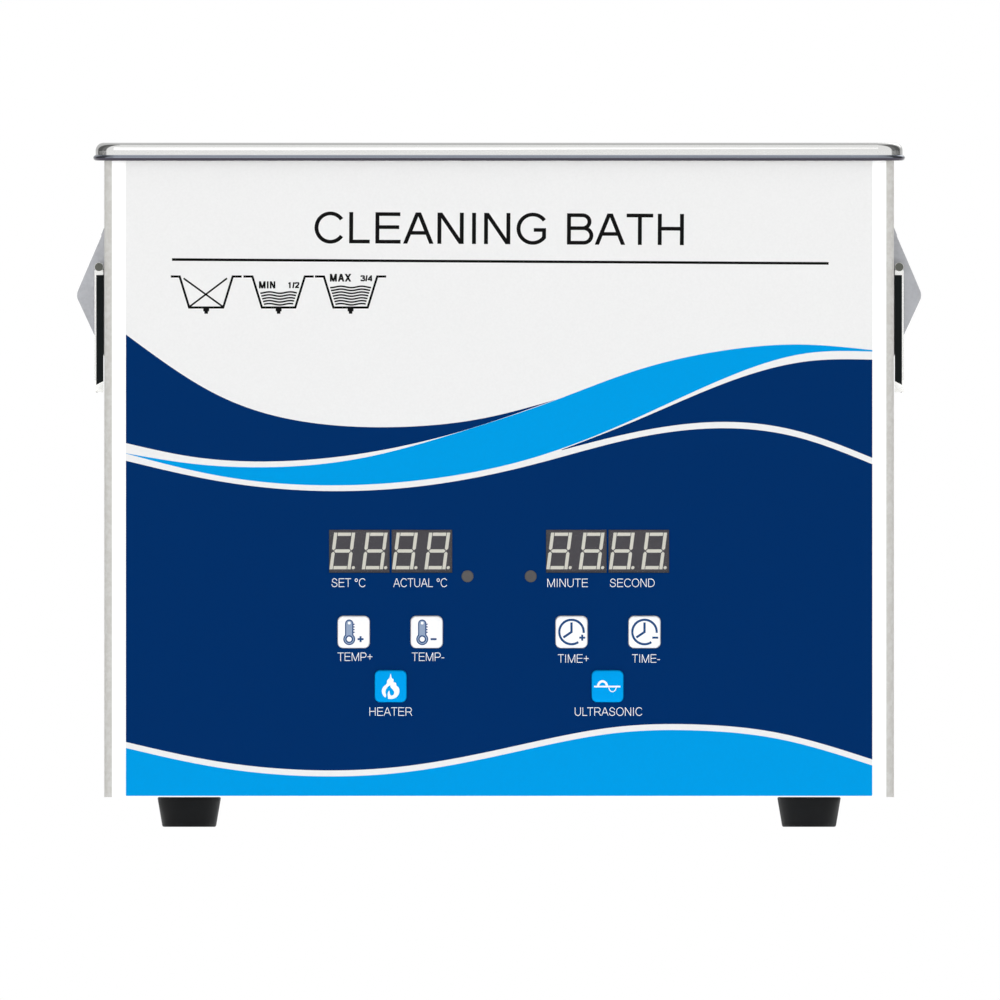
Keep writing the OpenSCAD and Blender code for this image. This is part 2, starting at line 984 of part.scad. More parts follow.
module inlet_blades(y0, y1) {
    along_y(y0, y1)
        for (i = [-1:1])
            translate([i * blade_gap - 1, (i == 0 ? blade_offset : -blade_offset) - 2])
                square([2, 4]);
}

module inlet_socket() {
    color("#1a1a1a")
        translate([inlet_x, 0, inlet_z])
            difference() {
                union() {
                    along_y(rear_face, inlet_face)
                        rounded_rect(48, 24, 4);
                    along_y(inlet_back, rear_face)
                        square([27.4, 20], center = true);
                }
                along_y(inlet_face - inlet_depth, inlet_face + cut)
                    inlet_outline(0);
                inlet_blades(inlet_back - cut, inlet_face);
                for (sx = [-1, 1]) {
                    bar_y([sx * 20, 0], m3_r + hole_gap, rear_face - cut, inlet_face + cut);
                    translate([sx * 20, inlet_face + 0.1, 0])
                        rotate([90, 0, 0])
                            cylinder(r1 = 2.9, r2 = m3_r + hole_gap, h = 1.3);
                }
            }
}

module inlet_pins() {
    color("goldenrod")
        translate([inlet_x, 0, inlet_z])
            inlet_blades(inlet_tab_y, inlet_face - 3.5);
}

// Switch case with its bezel, the axle of the rocker across it, and two terminals
module switch_body() {
    color("#202020")
        translate([rocker_x, 0, rocker_z])
            union() {
                difference() {
                    union() {
                        along_y(rear_face, bezel_face)
                            rounded_rect(15.2, 21.4, 1);
                        along_y(switch_back, rear_face)
                            square([13, 19.2], center = true);
                    }
                    along_y(rocker_pivot_y - 5, bezel_face + cut)
                        square([11, 18], center = true);
                }
                translate([-6, rocker_pivot_y, 0])
                    rotate([0, 90, 0])
                        cylinder(r = 1, h = 12);
                for (sz = [-1, 1])
                    block([-3, terminal_y, sz * 5 - 0.4], [3, switch_back + 0.5, sz * 5 + 0.4]);
            }
}

// Rocker, tipped to its off side: a shallow V across the front and a bored hub
module power_rocker() {
    face = 4.4;
    half = 8.1;
    color("#101010")
        translate([rocker_x, rocker_pivot_y, rocker_z])
            rotate([rocker_tilt, 0, 0])
                difference() {
                    union() {
                        along_x(-5.2, 5.2)
                            polygon([[0, -half], [face, -half], [face - 0.7, 0], [face, half], [0, half]]);
                        translate([-5.2, 0, 0])
                            rotate([0, 90, 0])
                                cylinder(r = 2.6, h = 10.4);
                    }
                    translate([-6, 0, 0])
                        rotate([0, 90, 0])
                            cylinder(r = 1.06, h = 12);
                }
}

// ---- Handles ----

// Flat (x, z) outline of a bulge: two straight flanks and a round nose
module bulge_outline() {
    upper = atan2(bulge_out, plate_top - bulge_z);
    lower = atan2(bulge_out, bulge_z - plate_bottom);
    nose = [bulge_out - nose_r / sin(90 - (upper + lower) / 2), bulge_z];
    polygon(concat([[0, plate_bottom]], arc(nose, nose_r, -lower, upper, 6), [[0, plate_top]]));
}

// Half pyramid with its upright face at |y| = outer and its tip on the plate at |y| = inner
module half_pyramid(base_x, apex_x, outer, inner, bottom, top) {
    polyhedron(
        points = [
            [base_x, outer, bottom], [base_x, outer, top], [base_x, inner, bulge_z], [apex_x, outer, bulge_z]
        ],
        faces = [[0, 1, 2], [0, 3, 1], [1, 3, 2], [2, 3, 0]]
    );
}

// Pressed plate with bevelled long edges and a hollow bulge at each end. A hinge pin sits in the
// upright face of each bulge.
module handle_bracket(side) {
    color("silver")
        on_side(side)
            difference() {
                union() {
                    intersection() {
                        block([0, -plate_y, plate_bottom], [plate_t, plate_y, plate_top]);
                        along_y(-plate_y - cut, plate_y + cut)
                            bulge_outline();
                    }
                    for (end = [0, 1])
                        mirror([0, end, 0])
                            intersection() {
                                half_pyramid(0, bulge_out, plate_y, bulge_y, plate_bottom, plate_top);
                                along_y(0, plate_y + cut)
                                    bulge_outline();
                            }
                }
                for (end = [0, 1])
                    mirror([0, end, 0]) {
                        half_pyramid(
                            -1, bulge_out - 1.8, plate_y - bulge_wall, bulge_y,
                            plate_bottom + 1.5, plate_top - 1.5
                        );
                        bar_y([pivot_x, pivot_z], pin_r + 0.02, plate_y - 3, plate_y + cut);
                        bulge_bend();
                    }
                for (y = [-rivet_y, rivet_y], z = rivet_zs)
                    translate([-cut, y, z])
                        rotate([0, 90, 0])
                            cylinder(r = rivet_r + hole_gap, h = plate_t + 2 * cut);
            }
}

// Leans the upper part of a bulge's upright face back, from a crease between pin and nose
module bulge_bend() {
    translate([pivot_x, plate_y, pivot_z - 2.5])
        rotate([0, 35, 0])
            rotate([4, 0, 0])
                translate([-12, 0, 0])
                    cube([30, 5, 32]);
}

module handle_bracket_left() { handle_bracket(-1); }
module handle_bracket_right() { handle_bracket(1); }

// Flat (x, z) section of the handle's lower steel edge, round on its outer corner
module edge_section() {
    r = 1.6;
    polygon(concat(
        [[bail_gap, bail_bottom + 3.8], [bail_gap, bail_bottom]],
        arc([bail_out - r, bail_bottom + r], r, -90, 0, 6),
        [[bail_out, bail_bottom + 2.2]]
    ));
}

// Flat (y, z) outline of the hanging handle
module bail_outline(top) {
    difference() {
        translate([0, (bail_bottom + top + 10) / 2])
            rounded_rect(2 * arm_out, top + 10 - bail_bottom, 4);
        translate([0, (bar_top + top + 20) / 2])
            rounded_rect(2 * arm_in, top + 20 - bar_top, 2);
        translate([-arm_out - cut, top])
            square([2 * (arm_out + cut), 30]);
    }
}

// Steel part of a handle: outer strap, lower edge, core of the grip, and the hinge barrels
module bail(side) {
    color("silver")
        on_side(side)
            difference() {
                union() {
                    difference() {
                        along_x(bail_out - strap_t, bail_out)
                            bail_outline(band_top);
                        block([0, -grip_y, bail_bottom - cut], [bail_out + cut, grip_y, bar_top + cut]);
                    }
                    intersection() {
                        for (y = [-arm_out, grip_y])
                            along_y(y, y + arm_out - grip_y)
                                edge_section();
                        along_x(0, bail_out)
                            bail_outline(band_top);
                    }
                    block([core_x[0], -grip_y - 2, core_z[0]], [core_x[1], grip_y + 2, core_z[1]]);
                    for (y = [-arm_out, arm_in]) {
                        block([bail_gap, y, band_bottom], [bail_out, y + arm_out - arm_in, band_top]);
                        bar_y([pivot_x, pivot_z], barrel_r, y, y + arm_out - arm_in);
                    }
                }
                for (y = [-arm_out, arm_in])
                    bar_y([pivot_x, pivot_z], pin_r + axle_gap, y - cut, y + arm_out - arm_in + cut);
            }
}

module bail_left() { bail(-1); }
module bail_right() { bail(1); }

// Black moulding of a handle: it lines the arms and closes round the middle of the bar
module grip(side) {
    color("#15171a")
        on_side(side)
            difference() {
                union() {
                    difference() {
                        along_x(bail_gap, bail_out - strap_t)
                            bail_outline(band_bottom);
                        block([0, 1 - grip_y, bail_bottom - cut], [bail_out, grip_y - 1, bar_top + cut]);
                        for (y = [-arm_out - cut, grip_y])
                            along_y(y, y + arm_out + cut - grip_y)
                                edge_section();
                    }
                    along_y(-grip_y, grip_y)
                        translate([(bail_gap + bail_out) / 2, (bail_bottom + bar_top) / 2])
                            rounded_rect(bail_out - bail_gap, bar_top - bail_bottom, 1.4);
                }
                block([core_x[0], -grip_y - 2, core_z[0]], [core_x[1], grip_y + 2, core_z[1]]);
            }
}

module grip_left() { grip(-1); }
module grip_right() { grip(1); }

// Hinge pins, headed inside the bulges and outside the arms
module pivot_pins() {
    pin_start = plate_y - bulge_wall;
    color("#707468")
        for (side = [-1, 1], end = [0, 1])
            on_side(side)
                mirror([0, end, 0])
                    union() {
                        bar_y([pivot_x, pivot_z], pin_head_r, pin_start - 1, pin_start);
                        bar_y([pivot_x, pivot_z], pin_r, pin_start, arm_out + 0.6);
                        bar_y([pivot_x, pivot_z], pin_head_r, arm_out + 0.15, arm_out + 0.6);
                    }
}

// Domed rivets through the plates, spread inside the housing
module handle_rivets() {
    dome_r = 4.3;
    color("darkgray")
        for (side = [-1, 1], y = [-rivet_y, rivet_y], z = rivet_zs)
            on_side(side)
                translate([0, y, z])
                    rotate([0, 90, 0])
                        union() {
                            translate([0, 0, -sheet])
                                cylinder(r = rivet_r, h = sheet + plate_t);
                            translate([0, 0, -sheet - 0.9])
                                cylinder(r = 2.9, h = 0.9);
                            intersection() {
                                translate([0, 0, plate_t + 1.3 - dome_r])
                                    sphere(dome_r);
                                translate([0, 0, plate_t])
                                    cylinder(r = dome_r, h = 2);
                            }
                        }
}

// ---- Wiring ----

// Replaces each corner of a route by three points on a round bend
function eased(points, reach) = concat(
    [points[0]],
    [for (i = [1:len(points) - 2])
        let (
            corner = points[i],
            start = corner - reach * unit(corner - points[i - 1]),
            end = corner + reach * unit(points[i + 1] - corner)
        )
        each [start, (start + 2 * corner + end) / 4, end]],
    [points[len(points) - 1]]
);

function unit(v) = v / norm(v);

// Direction of a route at each of its points
function headings(points) = [
    for (i = [0:len(points) - 1])
        unit(points[min(i + 1, len(points) - 1)] - points[max(i - 1, 0)])
];

// A direction square to each heading, carried along the route without twist
function sides_of(heads) = [
    for (
        i = 0, side = unit(cross(heads[0], [0.3, 0.5, 0.8]));
        i < len(heads);
        i = i + 1, side = i < len(heads) ? unit(side - (side * heads[i]) * heads[i]) : side
    ) side
];

// A wire swept along a route given by its corners
module wire(corners) {
    wire_r = 1.1;
    facets = 6;
    route = eased(corners, 2.5);
    heads = headings(route);
    sides = sides_of(heads);
    last = len(route) - 1;
    polyhedron(
        points = [
            for (i = [0:last], k = [0:facets - 1])
                route[i] + wire_r * (cos(360 * k / facets) * sides[i]
                    + sin(360 * k / facets) * cross(heads[i], sides[i]))
        ],
        faces = concat(
            [[for (k = [0:facets - 1]) k]],
            [for (i = [0:last - 1], k = [0:facets - 1])
                let (a = i * facets + k, b = i * facets + (k + 1) % facets)
                each [[a, a + facets, b], [b, a + facets, b + facets]]],
            [[for (k = [facets - 1:-1:0]) last * facets + k]]
        )
    );
}

// Inlet to switch and board, board to transducers, heater and fan, and the earth lead
module wiring_loom() {
    tab_z = ring_top - ring_h - 1.5 * electrode_h;
    color("firebrick") {
        wire([
            [inlet_x + blade_gap, inlet_tab_y, inlet_z - blade_offset],
            [inlet_x + blade_gap, 50, inlet_z - blade_offset],
            [inlet_x + blade_gap, 50, rocker_z - 5],
            [rocker_x, 50, rocker_z - 5],
            [rocker_x, terminal_y, rocker_z - 5]
        ]);
        wire([
            [rocker_x, terminal_y, rocker_z + 5], [rocker_x, 48, rocker_z + 5],
            [20, 43, 70], [20, 43, driver_face]
        ]);
        wire([
            [inlet_x - blade_gap, inlet_tab_y, inlet_z - blade_offset],
            [inlet_x - blade_gap, 50, inlet_z - blade_offset],
            [8, 48, 38], [8, 43, 30], [8, 43, driver_face]
        ]);
        wire([
            [inlet_x, inlet_tab_y, inlet_z + blade_offset], [inlet_x, 54, inlet_z + blade_offset],
            [inlet_x, 54, floor_z]
        ]);
        for (side = [-1, 1])
            wire([
                [side * transducer_x, -stack_r - 8, tab_z], [side * transducer_x, -36, tab_z],
                [side < 0 ? -60 : 26, -46, 46], [side < 0 ? -60 : 26, -46, driver_face]
            ]);
        wire([
            [-82, tank_front_y - 1.25, tank_floor + 10.5], [-82, tank_front_y - 1.25, 130],
            [-92, -40, 60], [-92, -40, driver_face]
        ]);
        wire([
            [fan_x + 8, fan_front, fan_z], [fan_x + 8, 51, fan_z],
            [-12, 48, 45], [-12, 43, 32], [-12, 43, driver_face]
        ]);
    }
}

// Flat cable from the control board back and down to the driver board
module ribbon_cable() {
    ribbon_z = 44;
    thick = 1.2;
    bend = 4;
    start_y = board_y + board_t + 6;
    end_y = -46;
    color("lightgray")
        along_x(-8, 8)
            union() {
                translate([start_y, ribbon_z - thick / 2])
                    square([end_y - bend + thick / 2 - start_y, thick]);
                translate([end_y - bend + thick / 2, ribbon_z + thick / 2 - bend])
                    quarter_ring(bend, bend - thick, 0);
                translate([end_y - thick / 2, driver_face + 8])
                    square([thick, ribbon_z + thick / 2 - bend - driver_face - 8]);
            }
}

housing();
rear_panel();
base_plate();
tank();
rim_seal();
foot_front_left();
foot_front_right();
foot_rear_left();
foot_rear_right();
foot_screws();
casing_screws();
panel_overlay();
display_windows();
key_temp_up();
key_temp_down();
key_time_up();
key_time_down();
key_heater();
key_ultrasonic();
control_board();
display_left();
display_right();
tact_switches();
status_leds();
board_standoffs();
board_screws();
horn_left();
horn_right();
piezo_rings_left();
piezo_rings_right();
electrodes();
back_mass_left();
back_mass_right();
transducer_bolts();
heater_pads();
temperature_probe();
thermal_cutout();
driver_board();
heatsink();
power_transistors();
output_transformer();
tuning_coil();
driver_capacitors();
fan_frame();
fan_rotor();
fan_screws();
inlet_socket();
inlet_pins();
switch_body();
power_rocker();
handle_bracket_left();
handle_bracket_right();
bail_left();
bail_right();
grip_left();
grip_right();
pivot_pins();
handle_rivets();
wiring_loom();
ribbon_cable();
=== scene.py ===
"""Ultrasonic cleaner: materials, printed panel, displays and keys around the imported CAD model.

Lengths in the drawings of the panel are in millimetres, as (x, z) seen from the front.
Everything in the scene itself is in metres.
"""

import json
import math

import bmesh
import bpy
import numpy as np
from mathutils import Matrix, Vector
from mathutils.geometry import delaunay_2d_cdt

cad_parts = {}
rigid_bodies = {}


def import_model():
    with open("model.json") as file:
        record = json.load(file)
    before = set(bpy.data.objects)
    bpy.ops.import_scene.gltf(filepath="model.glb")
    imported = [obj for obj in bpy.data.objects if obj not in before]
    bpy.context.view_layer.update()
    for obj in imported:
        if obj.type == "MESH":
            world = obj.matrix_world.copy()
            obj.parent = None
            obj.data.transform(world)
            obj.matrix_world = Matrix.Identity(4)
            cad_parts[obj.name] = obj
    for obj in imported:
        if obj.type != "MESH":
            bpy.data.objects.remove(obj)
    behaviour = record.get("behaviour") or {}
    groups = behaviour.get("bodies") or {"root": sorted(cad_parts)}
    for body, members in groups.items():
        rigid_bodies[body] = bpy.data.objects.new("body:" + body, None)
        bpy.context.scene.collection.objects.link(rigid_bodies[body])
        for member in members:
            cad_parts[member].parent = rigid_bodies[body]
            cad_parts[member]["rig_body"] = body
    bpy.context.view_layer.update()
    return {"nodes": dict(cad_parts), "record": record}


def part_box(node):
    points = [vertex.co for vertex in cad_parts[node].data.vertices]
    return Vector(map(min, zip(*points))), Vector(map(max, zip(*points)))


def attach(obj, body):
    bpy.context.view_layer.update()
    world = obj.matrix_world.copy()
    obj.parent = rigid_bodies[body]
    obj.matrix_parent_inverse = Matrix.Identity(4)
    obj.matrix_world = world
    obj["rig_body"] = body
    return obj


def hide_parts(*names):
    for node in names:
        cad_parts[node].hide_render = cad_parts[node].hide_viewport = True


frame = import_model()

MM = 0.001
CASING = "casing"

# Where the housing's upright bends begin, from the middle
BEND_START = 0.1299
# The rim's outside begins this far from the middle along Y, and RIM_LONGER further along X
RIM_OUTSIDE = 0.077
RIM_LONGER = 0.05
# Painted light along the outside of the rim: a dimmer painted reflection on the crown, a bluish painted
# reflection line, and painted shadow lines under the rolled edge. Each band begins below a height, and has a
# colour
RIM_REFLECTION_AND_SHADE_BANDS = [(0.2292, (0.74, 0.74, 0.73)), (0.2255, (0.33, 0.36, 0.43)),
             (0.2251, (0.20, 0.215, 0.25)), (0.2245, (0.06, 0.055, 0.07))]

# Inks of the panel and the keys, as linear colours
LIGHT = (0.768, 0.768, 0.766)
NAVY = (0.0, 0.0243, 0.1185)
SKY = (0.0, 0.297, 0.688)
KEY_SKY = (0.0, 0.322, 0.765)
BLACK = (0.006, 0.006, 0.006)
WHITE = (0.88, 0.88, 0.89)
ICON_NAVY = (0.012, 0.060, 0.184)
ICON_GREY = (0.268, 0.341, 0.470)
SEGMENT = (0.70, 0.69, 0.61)
MODULE = (0.076, 0.072, 0.080)


# ---- Materials ----


class Look:
    """A Principled material. Constant values sit on its own sockets, and textures are added by name."""

    def __init__(self, name, colour, roughness, metallic=0.0, **sockets):
        self.material = bpy.data.materials.new(name)
        self.material.use_nodes = True
        self.tree = self.material.node_tree
        self.shader = self.tree.nodes["Principled BSDF"]
        self.colour = (*colour, 1.0)
        self.shader.inputs["Base Color"].default_value = self.colour
        self.shader.inputs["Roughness"].default_value = roughness
        self.shader.inputs["Metallic"].default_value = metallic
        for socket, value in sockets.items():
            self.shader.inputs[socket.replace("_", " ")].default_value = value
        self.roughness = roughness
        self.place = self.add("ShaderNodeTexCoord").outputs["Object"]

    def add(self, kind, **inputs):
        node = self.tree.nodes.new(kind)
        for name, value in inputs.items():
            self.put(node.inputs[name.replace("_", " ")], value)
        return node

    def put(self, socket, value):
        if isinstance(value, bpy.types.NodeSocket):
            self.tree.links.new(value, socket)
        else:
            socket.default_value = value

    def noise(self, size, stretch=(1, 1, 1), detail=3.0):
        """Noise with grains of about size metres, longer along the axes whose stretch is larger."""
        grain = self.add("ShaderNodeMapping", Vector=self.place)
        grain.inputs["Scale"].default_value = [1 / (size * s) for s in stretch]
        node = self.add("ShaderNodeTexNoise", Vector=grain.outputs["Vector"], Scale=1.0, Detail=detail)
        return node.outputs["Fac"]

    def spread(self, factor, low, high, start=0.3, end=0.7):
        """A number that goes from low to high as the factor goes from start to end."""
        node = self.add("ShaderNodeMapRange", Value=factor)
        for name, value in zip(("From Min", "From Max", "To Min", "To Max"), (start, end, low, high)):
            node.inputs[name].default_value = value
        return node.outputs["Result"]

    def tint(self, factor, colour, start=0.3, end=0.7):
        """Blends the colour in as the factor goes from start to end, over what is there already."""
        base = self.shader.inputs["Base Color"]
        before = base.links[0].from_socket if base.is_linked else self.colour
        mix = self.tree.nodes.new("ShaderNodeMix")
        mix.data_type = "RGBA"
        self.put(mix.inputs[0], self.spread(factor, 0.0, 1.0, start, end))
        self.put(mix.inputs[6], before)
        self.put(mix.inputs[7], (*colour, 1.0))
        self.put(base, mix.outputs[2])
        return self

    def rough(self, factor, low, high):
        self.put(self.shader.inputs["Roughness"], self.spread(factor, low, high))
        return self

    def bump(self, height, depth, strength=1.0):
        """Relief of the given depth in metres. A second call is laid over the first."""
        normal = self.shader.inputs["Normal"]
        before = normal.links[0].from_socket if normal.is_linked else None
        node = self.add("ShaderNodeBump", Height=height, Distance=depth, Strength=strength)
        if before:
            self.put(node.inputs["Normal"], before)
        self.put(normal, node.outputs["Normal"])
        return self

    def along(self, axis):
        """The coordinate along an axis, in metres."""
        return self.add("ShaderNodeSeparateXYZ", Vector=self.place).outputs[axis]

    def sum(self, operation, first, second=0.0):
        """The result of a Math node."""
        node = self.tree.nodes.new("ShaderNodeMath")
        node.operation = operation
        self.put(node.inputs[0], first)
        self.put(node.inputs[1], second)
        return node.outputs[0]


def brushed(name, colour, roughness, along, dark=0.85, depth=4e-6):
    """Steel brushed along an axis: fine long grains in the colour, the gloss and the relief."""
    stretch = [1, 1, 1]
    stretch[along] = 60
    look = Look(name, colour, roughness, 1.0)
    grain = look.noise(0.0004, stretch, 4)
    look.tint(grain, [c * dark for c in colour])
    look.rough(look.noise(0.0011, stretch), roughness * 0.8, roughness * 1.25)
    look.bump(grain, depth)
    look.tint(look.noise(0.02), [c * 0.94 for c in colour], 0.35, 0.75)
    return look


def plastic(name, colour, roughness, grain=0.0006, depth=1e-5, **sockets):
    """Moulded plastic: a fine grain, and gloss that varies a little over the surface."""
    look = Look(name, colour, roughness, **sockets)
    look.bump(look.noise(grain, detail=2), depth)
    look.rough(look.noise(0.012), roughness * 0.85, roughness * 1.2)
    look.tint(look.noise(0.03), [c * 0.82 for c in colour], 0.35, 0.8)
    return look


def ink(name, colour):
    """A matt printed ink."""
    look = Look(name, colour, 0.5, Specular_IOR_Level=0.01)
    look.bump(look.noise(0.0009, detail=2), 2e-6)
    look.rough(look.noise(0.03), 0.45, 0.55)
    look.tint(look.noise(0.0007), [min(1.0, c * 0.97 + 0.001) for c in colour])
    return look


def circuit_board():
    look = Look("solder_mask", (0.012, 0.10, 0.035), 0.3, Coat_Weight=0.3)
    tracks = look.add("ShaderNodeTexBrick", Vector=look.place, Scale=220.0).outputs["Fac"]
    look.tint(tracks, (0.03, 0.19, 0.06))
    look.bump(tracks, 2e-5)
    look.rough(look.noise(0.004), 0.25, 0.4)
    return look


def rim_steel():
    """The tank: drawn satin walls and a polished rim, whose rolled edge has painted reflection and painted
    shadow lines along it.
    """
    look = Look("tank_steel", (0.88, 0.88, 0.875), 0.3, 1.0)
    height = look.along(2)
    grain = look.noise(0.0005, (30, 30, 1), 4)
    look.tint(grain, (0.82, 0.82, 0.81))
    look.bump(grain, 2e-6)
    look.put(look.shader.inputs["Roughness"], look.spread(height, 0.30, 0.09, 0.222, 0.224))
    past_end = look.sum("SUBTRACT", look.sum("ABSOLUTE", look.along(0)), RIM_LONGER)
    outward = look.sum("MAXIMUM", past_end, look.sum("ABSOLUTE", look.along(1)))
    outside = look.spread(outward, 0.0, 1.0, RIM_OUTSIDE - 0.0005, RIM_OUTSIDE + 0.0005)
    # Painted reflection and painted shade: bands of colour by height on the rim's outside
    for z, colour in RIM_REFLECTION_AND_SHADE_BANDS:
        below = look.spread(height, 1.0, 0.0, z - 0.0001, z + 0.0001)
        look.tint(look.sum("MULTIPLY", below, outside), colour, 0.0, 1.0)
    return look


def housing_steel():
    """Sheet with a fine brushed front, whose upright bends get a darker grey of painted shade, with a mottled
    finish over it.
    """
    look = brushed("housing_steel", (0.93, 0.93, 0.925), 0.34, 0, 0.96)
    sideways = look.sum("ABSOLUTE", look.along(0))
    bend = look.spread(sideways, 0.0, 1.0, BEND_START, BEND_START + 0.0001)
    # Painted shade: the bends and the sides beyond them are tinted a darker grey
    look.tint(bend, (0.51, 0.50, 0.475), 0.0, 1.0)
    mottle = look.sum("MULTIPLY", bend, look.noise(0.0016, detail=4))
    look.tint(mottle, (0.56, 0.555, 0.535), 0.42, 0.62)
    look.put(look.shader.inputs["Metallic"], look.spread(bend, 1.0, 0.35, 0.0, 1.0))
    look.put(look.shader.inputs["Roughness"], look.spread(bend, 0.32, 0.6, 0.0, 1.0))
    return look


def materials():
    """A material for each of the record's slots, by slot."""
    looks = {
        "housing_steel": housing_steel(),
        "panel_steel": brushed("panel_steel", (0.68, 0.68, 0.68), 0.34, 0),
        "tank_steel": rim_steel(),
        "bracket_steel": brushed("bracket_steel", (0.46, 0.468, 0.495), 0.46, 1, 0.95, 1e-6),
        "bail_steel": brushed("bail_steel", (0.82, 0.82, 0.80), 0.14, 1, 0.96, 1e-6),
        "screw_steel": brushed("screw_steel", (0.60, 0.60, 0.61), 0.3, 0),
        "pin_steel": brushed("pin_steel", (0.13, 0.135, 0.12), 0.3, 1),
        "mass_steel": brushed("mass_steel", (0.46, 0.46, 0.47), 0.35, 0),
        "aluminium": brushed("aluminium", (0.76, 0.77, 0.79), 0.38, 0),
        "brass": brushed("brass", (0.80, 0.56, 0.24), 0.28, 2),
        "copper_wire": brushed("copper_wire", (0.70, 0.28, 0.12), 0.25, 1),
        "seal_rubber": plastic("seal_rubber", (0.03, 0.03, 0.031), 0.8, 0.0012, 4e-5),
        "foot_rubber": plastic("foot_rubber", (0.0045, 0.005, 0.0055), 0.5, 0.0008, 1.5e-5,
                               Specular_IOR_Level=0.1),
        "heater_rubber": plastic("heater_rubber", (0.50, 0.10, 0.03), 0.6, 0.0016, 5e-5),
        "wire": plastic("wire", (0.42, 0.03, 0.025), 0.42),
        "ribbon": plastic("ribbon", (0.42, 0.42, 0.42), 0.5),
        "black_plastic": plastic("black_plastic", (0.018, 0.018, 0.019), 0.45, 0.0005, 1.5e-5),
        "fan_plastic": plastic("fan_plastic", (0.016, 0.016, 0.016), 0.5),
        "grip_black": plastic("grip_black", (0.004, 0.0065, 0.007), 0.36, 0.0007, 8e-6,
                              Specular_IOR_Level=0.1),
        "rocker_plastic": plastic("rocker_plastic", (0.012, 0.012, 0.013), 0.22, 0.001, 3e-6),
        "capacitor_sleeve": plastic("capacitor_sleeve", (0.01, 0.02, 0.10), 0.3),
        "piezo_ceramic": plastic("piezo_ceramic", (0.10, 0.09, 0.08), 0.55),
        "ferrite": plastic("ferrite", (0.030, 0.028, 0.027), 0.6, 0.0009, 3e-5),
        "lamp": plastic("lamp", (0.085, 0.080, 0.080), 0.3, Specular_IOR_Level=0.2),
        "display_face": plastic("display_face", MODULE, 0.5, 0.0004, 4e-6),
        "circuit_board": circuit_board(),
        "window": Look("window", (0.03, 0.03, 0.03), 0.05, Alpha=0.05, Specular_IOR_Level=0.1),
        "key_white": ink("key_white", WHITE),
        "key_blue": ink("key_blue", KEY_SKY),
        "panel_print": ink("panel_navy", NAVY),
    }
    window = looks["window"]
    window.rough(window.noise(0.01), 0.03, 0.08)
    return {slot: look.material for slot, look in looks.items()}


def dress_cad_nodes(looks):
    """Gives every CAD node the material of its slot in the record."""
    for row in frame["record"]["subparts"]:
        for place in frame["nodes"][row["node"]].material_slots:
            place.material = looks[row["material_slot"]]


# ---- Softened edges ----


def soften(width, *nodes, segments=2, angle=32):
    """Rounds the sharp edges of CAD nodes by a bevel of the given width in millimetres."""
    for node in nodes:
        obj = frame["nodes"][node]
        weld = obj.modifiers.new("weld", "WELD")
        weld.merge_threshold = 1e-6
        bevel = obj.modifiers.new("bevel", "BEVEL")
        bevel.width = width * MM
        bevel.segments = segments
        bevel.limit_method = "ANGLE"
        bevel.angle_limit = math.radians(angle)
        bevel.use_clamp_overlap = False
        bevel.miter_outer = "MITER_ARC"
        bevel.harden_normals = True


# ---- Flat drawing: loops of (x, z) points in millimetres ----


def arc(centre, radius, start, end, steps=10):
    """Points along an arc, with angles in degrees."""
    angles = np.radians(np.linspace(start, end, steps + 1))
    return [(centre[0] + radius * math.cos(a), centre[1] + radius * math.sin(a)) for a in angles]


def circle(centre, radius, steps=32):
    return arc(centre, radius, 0, 360, steps)[:-1]


def ellipse(centre, rx, rz, start, end, steps=24):
    """Points along part of an ellipse, with angles in degrees."""
    return [(centre[0] + rx * x, centre[1] + rz * z) for x, z in arc((0, 0), 1, start, end, steps)]


def rectangle(x0, z0, x1, z1):
    return [(x0, z0), (x1, z0), (x1, z1), (x0, z1)]


def rounded(x0, z0, x1, z1, radius, steps=8):
    """A rectangle with round corners, from the lower right corner anticlockwise."""
    corners = [(x1, z0, 1, -1, -90), (x1, z1, 1, 1, 0), (x0, z1, -1, 1, 90), (x0, z0, -1, -1, 180)]
    loop = []
    for x, z, sx, sz, start in corners:
        loop += arc((x - sx * radius, z - sz * radius), radius, start, start + 90, steps)
    return loop


def smooth(points, xs):
    """Heights at xs on the natural cubic spline through the points."""
    x, z = np.array(points, float).T
    gap = np.diff(x)
    slope = np.diff(z) / gap
    count = len(x)
    system = np.eye(count)
    right = np.zeros(count)
    for i in range(1, count - 1):
        system[i, i - 1 : i + 2] = gap[i - 1], 2 * (gap[i - 1] + gap[i]), gap[i]
        right[i] = 6 * (slope[i] - slope[i - 1])
    bend = np.linalg.solve(system, right)
    i = np.clip(np.searchsorted(x, xs) - 1, 0, count - 2)
    t = np.asarray(xs) - x[i]
    rise = slope[i] - gap[i] * (2 * bend[i] + bend[i + 1]) / 6
    return z[i] + t * (rise + t * (bend[i] / 2 + t * (bend[i + 1] - bend[i]) / (6 * gap[i])))


def spline(points, closed=True, steps=6):
    """A smooth line through the points."""
    count = len(points)
    line = []
    for i in range(count if closed else count - 1):
        places = [(i + k) % count if closed else min(max(i + k, 0), count - 1) for k in (-1, 0, 1, 2)]
        p0, p1, p2, p3 = (np.array(points[place], float) for place in places)
        for t in np.linspace(0, 1, steps, endpoint=False):
            line.append(tuple(p1 + t * ((p2 - p0) + t * (2 * p0 - 5 * p1 + 4 * p2 - p3
                                                         + t * (3 * (p1 - p2) + p3 - p0))) / 2))
    return line if closed else line + [points[-1]]


def between(upper, lower, start, end, steps=60):
    """The loop between two splines, over a range of x."""
    xs = np.linspace(start, end, steps + 1)
    top = list(zip(xs, smooth(upper, xs)))
    bottom = list(zip(xs, smooth(lower, xs)))
    return bottom + top[::-1]


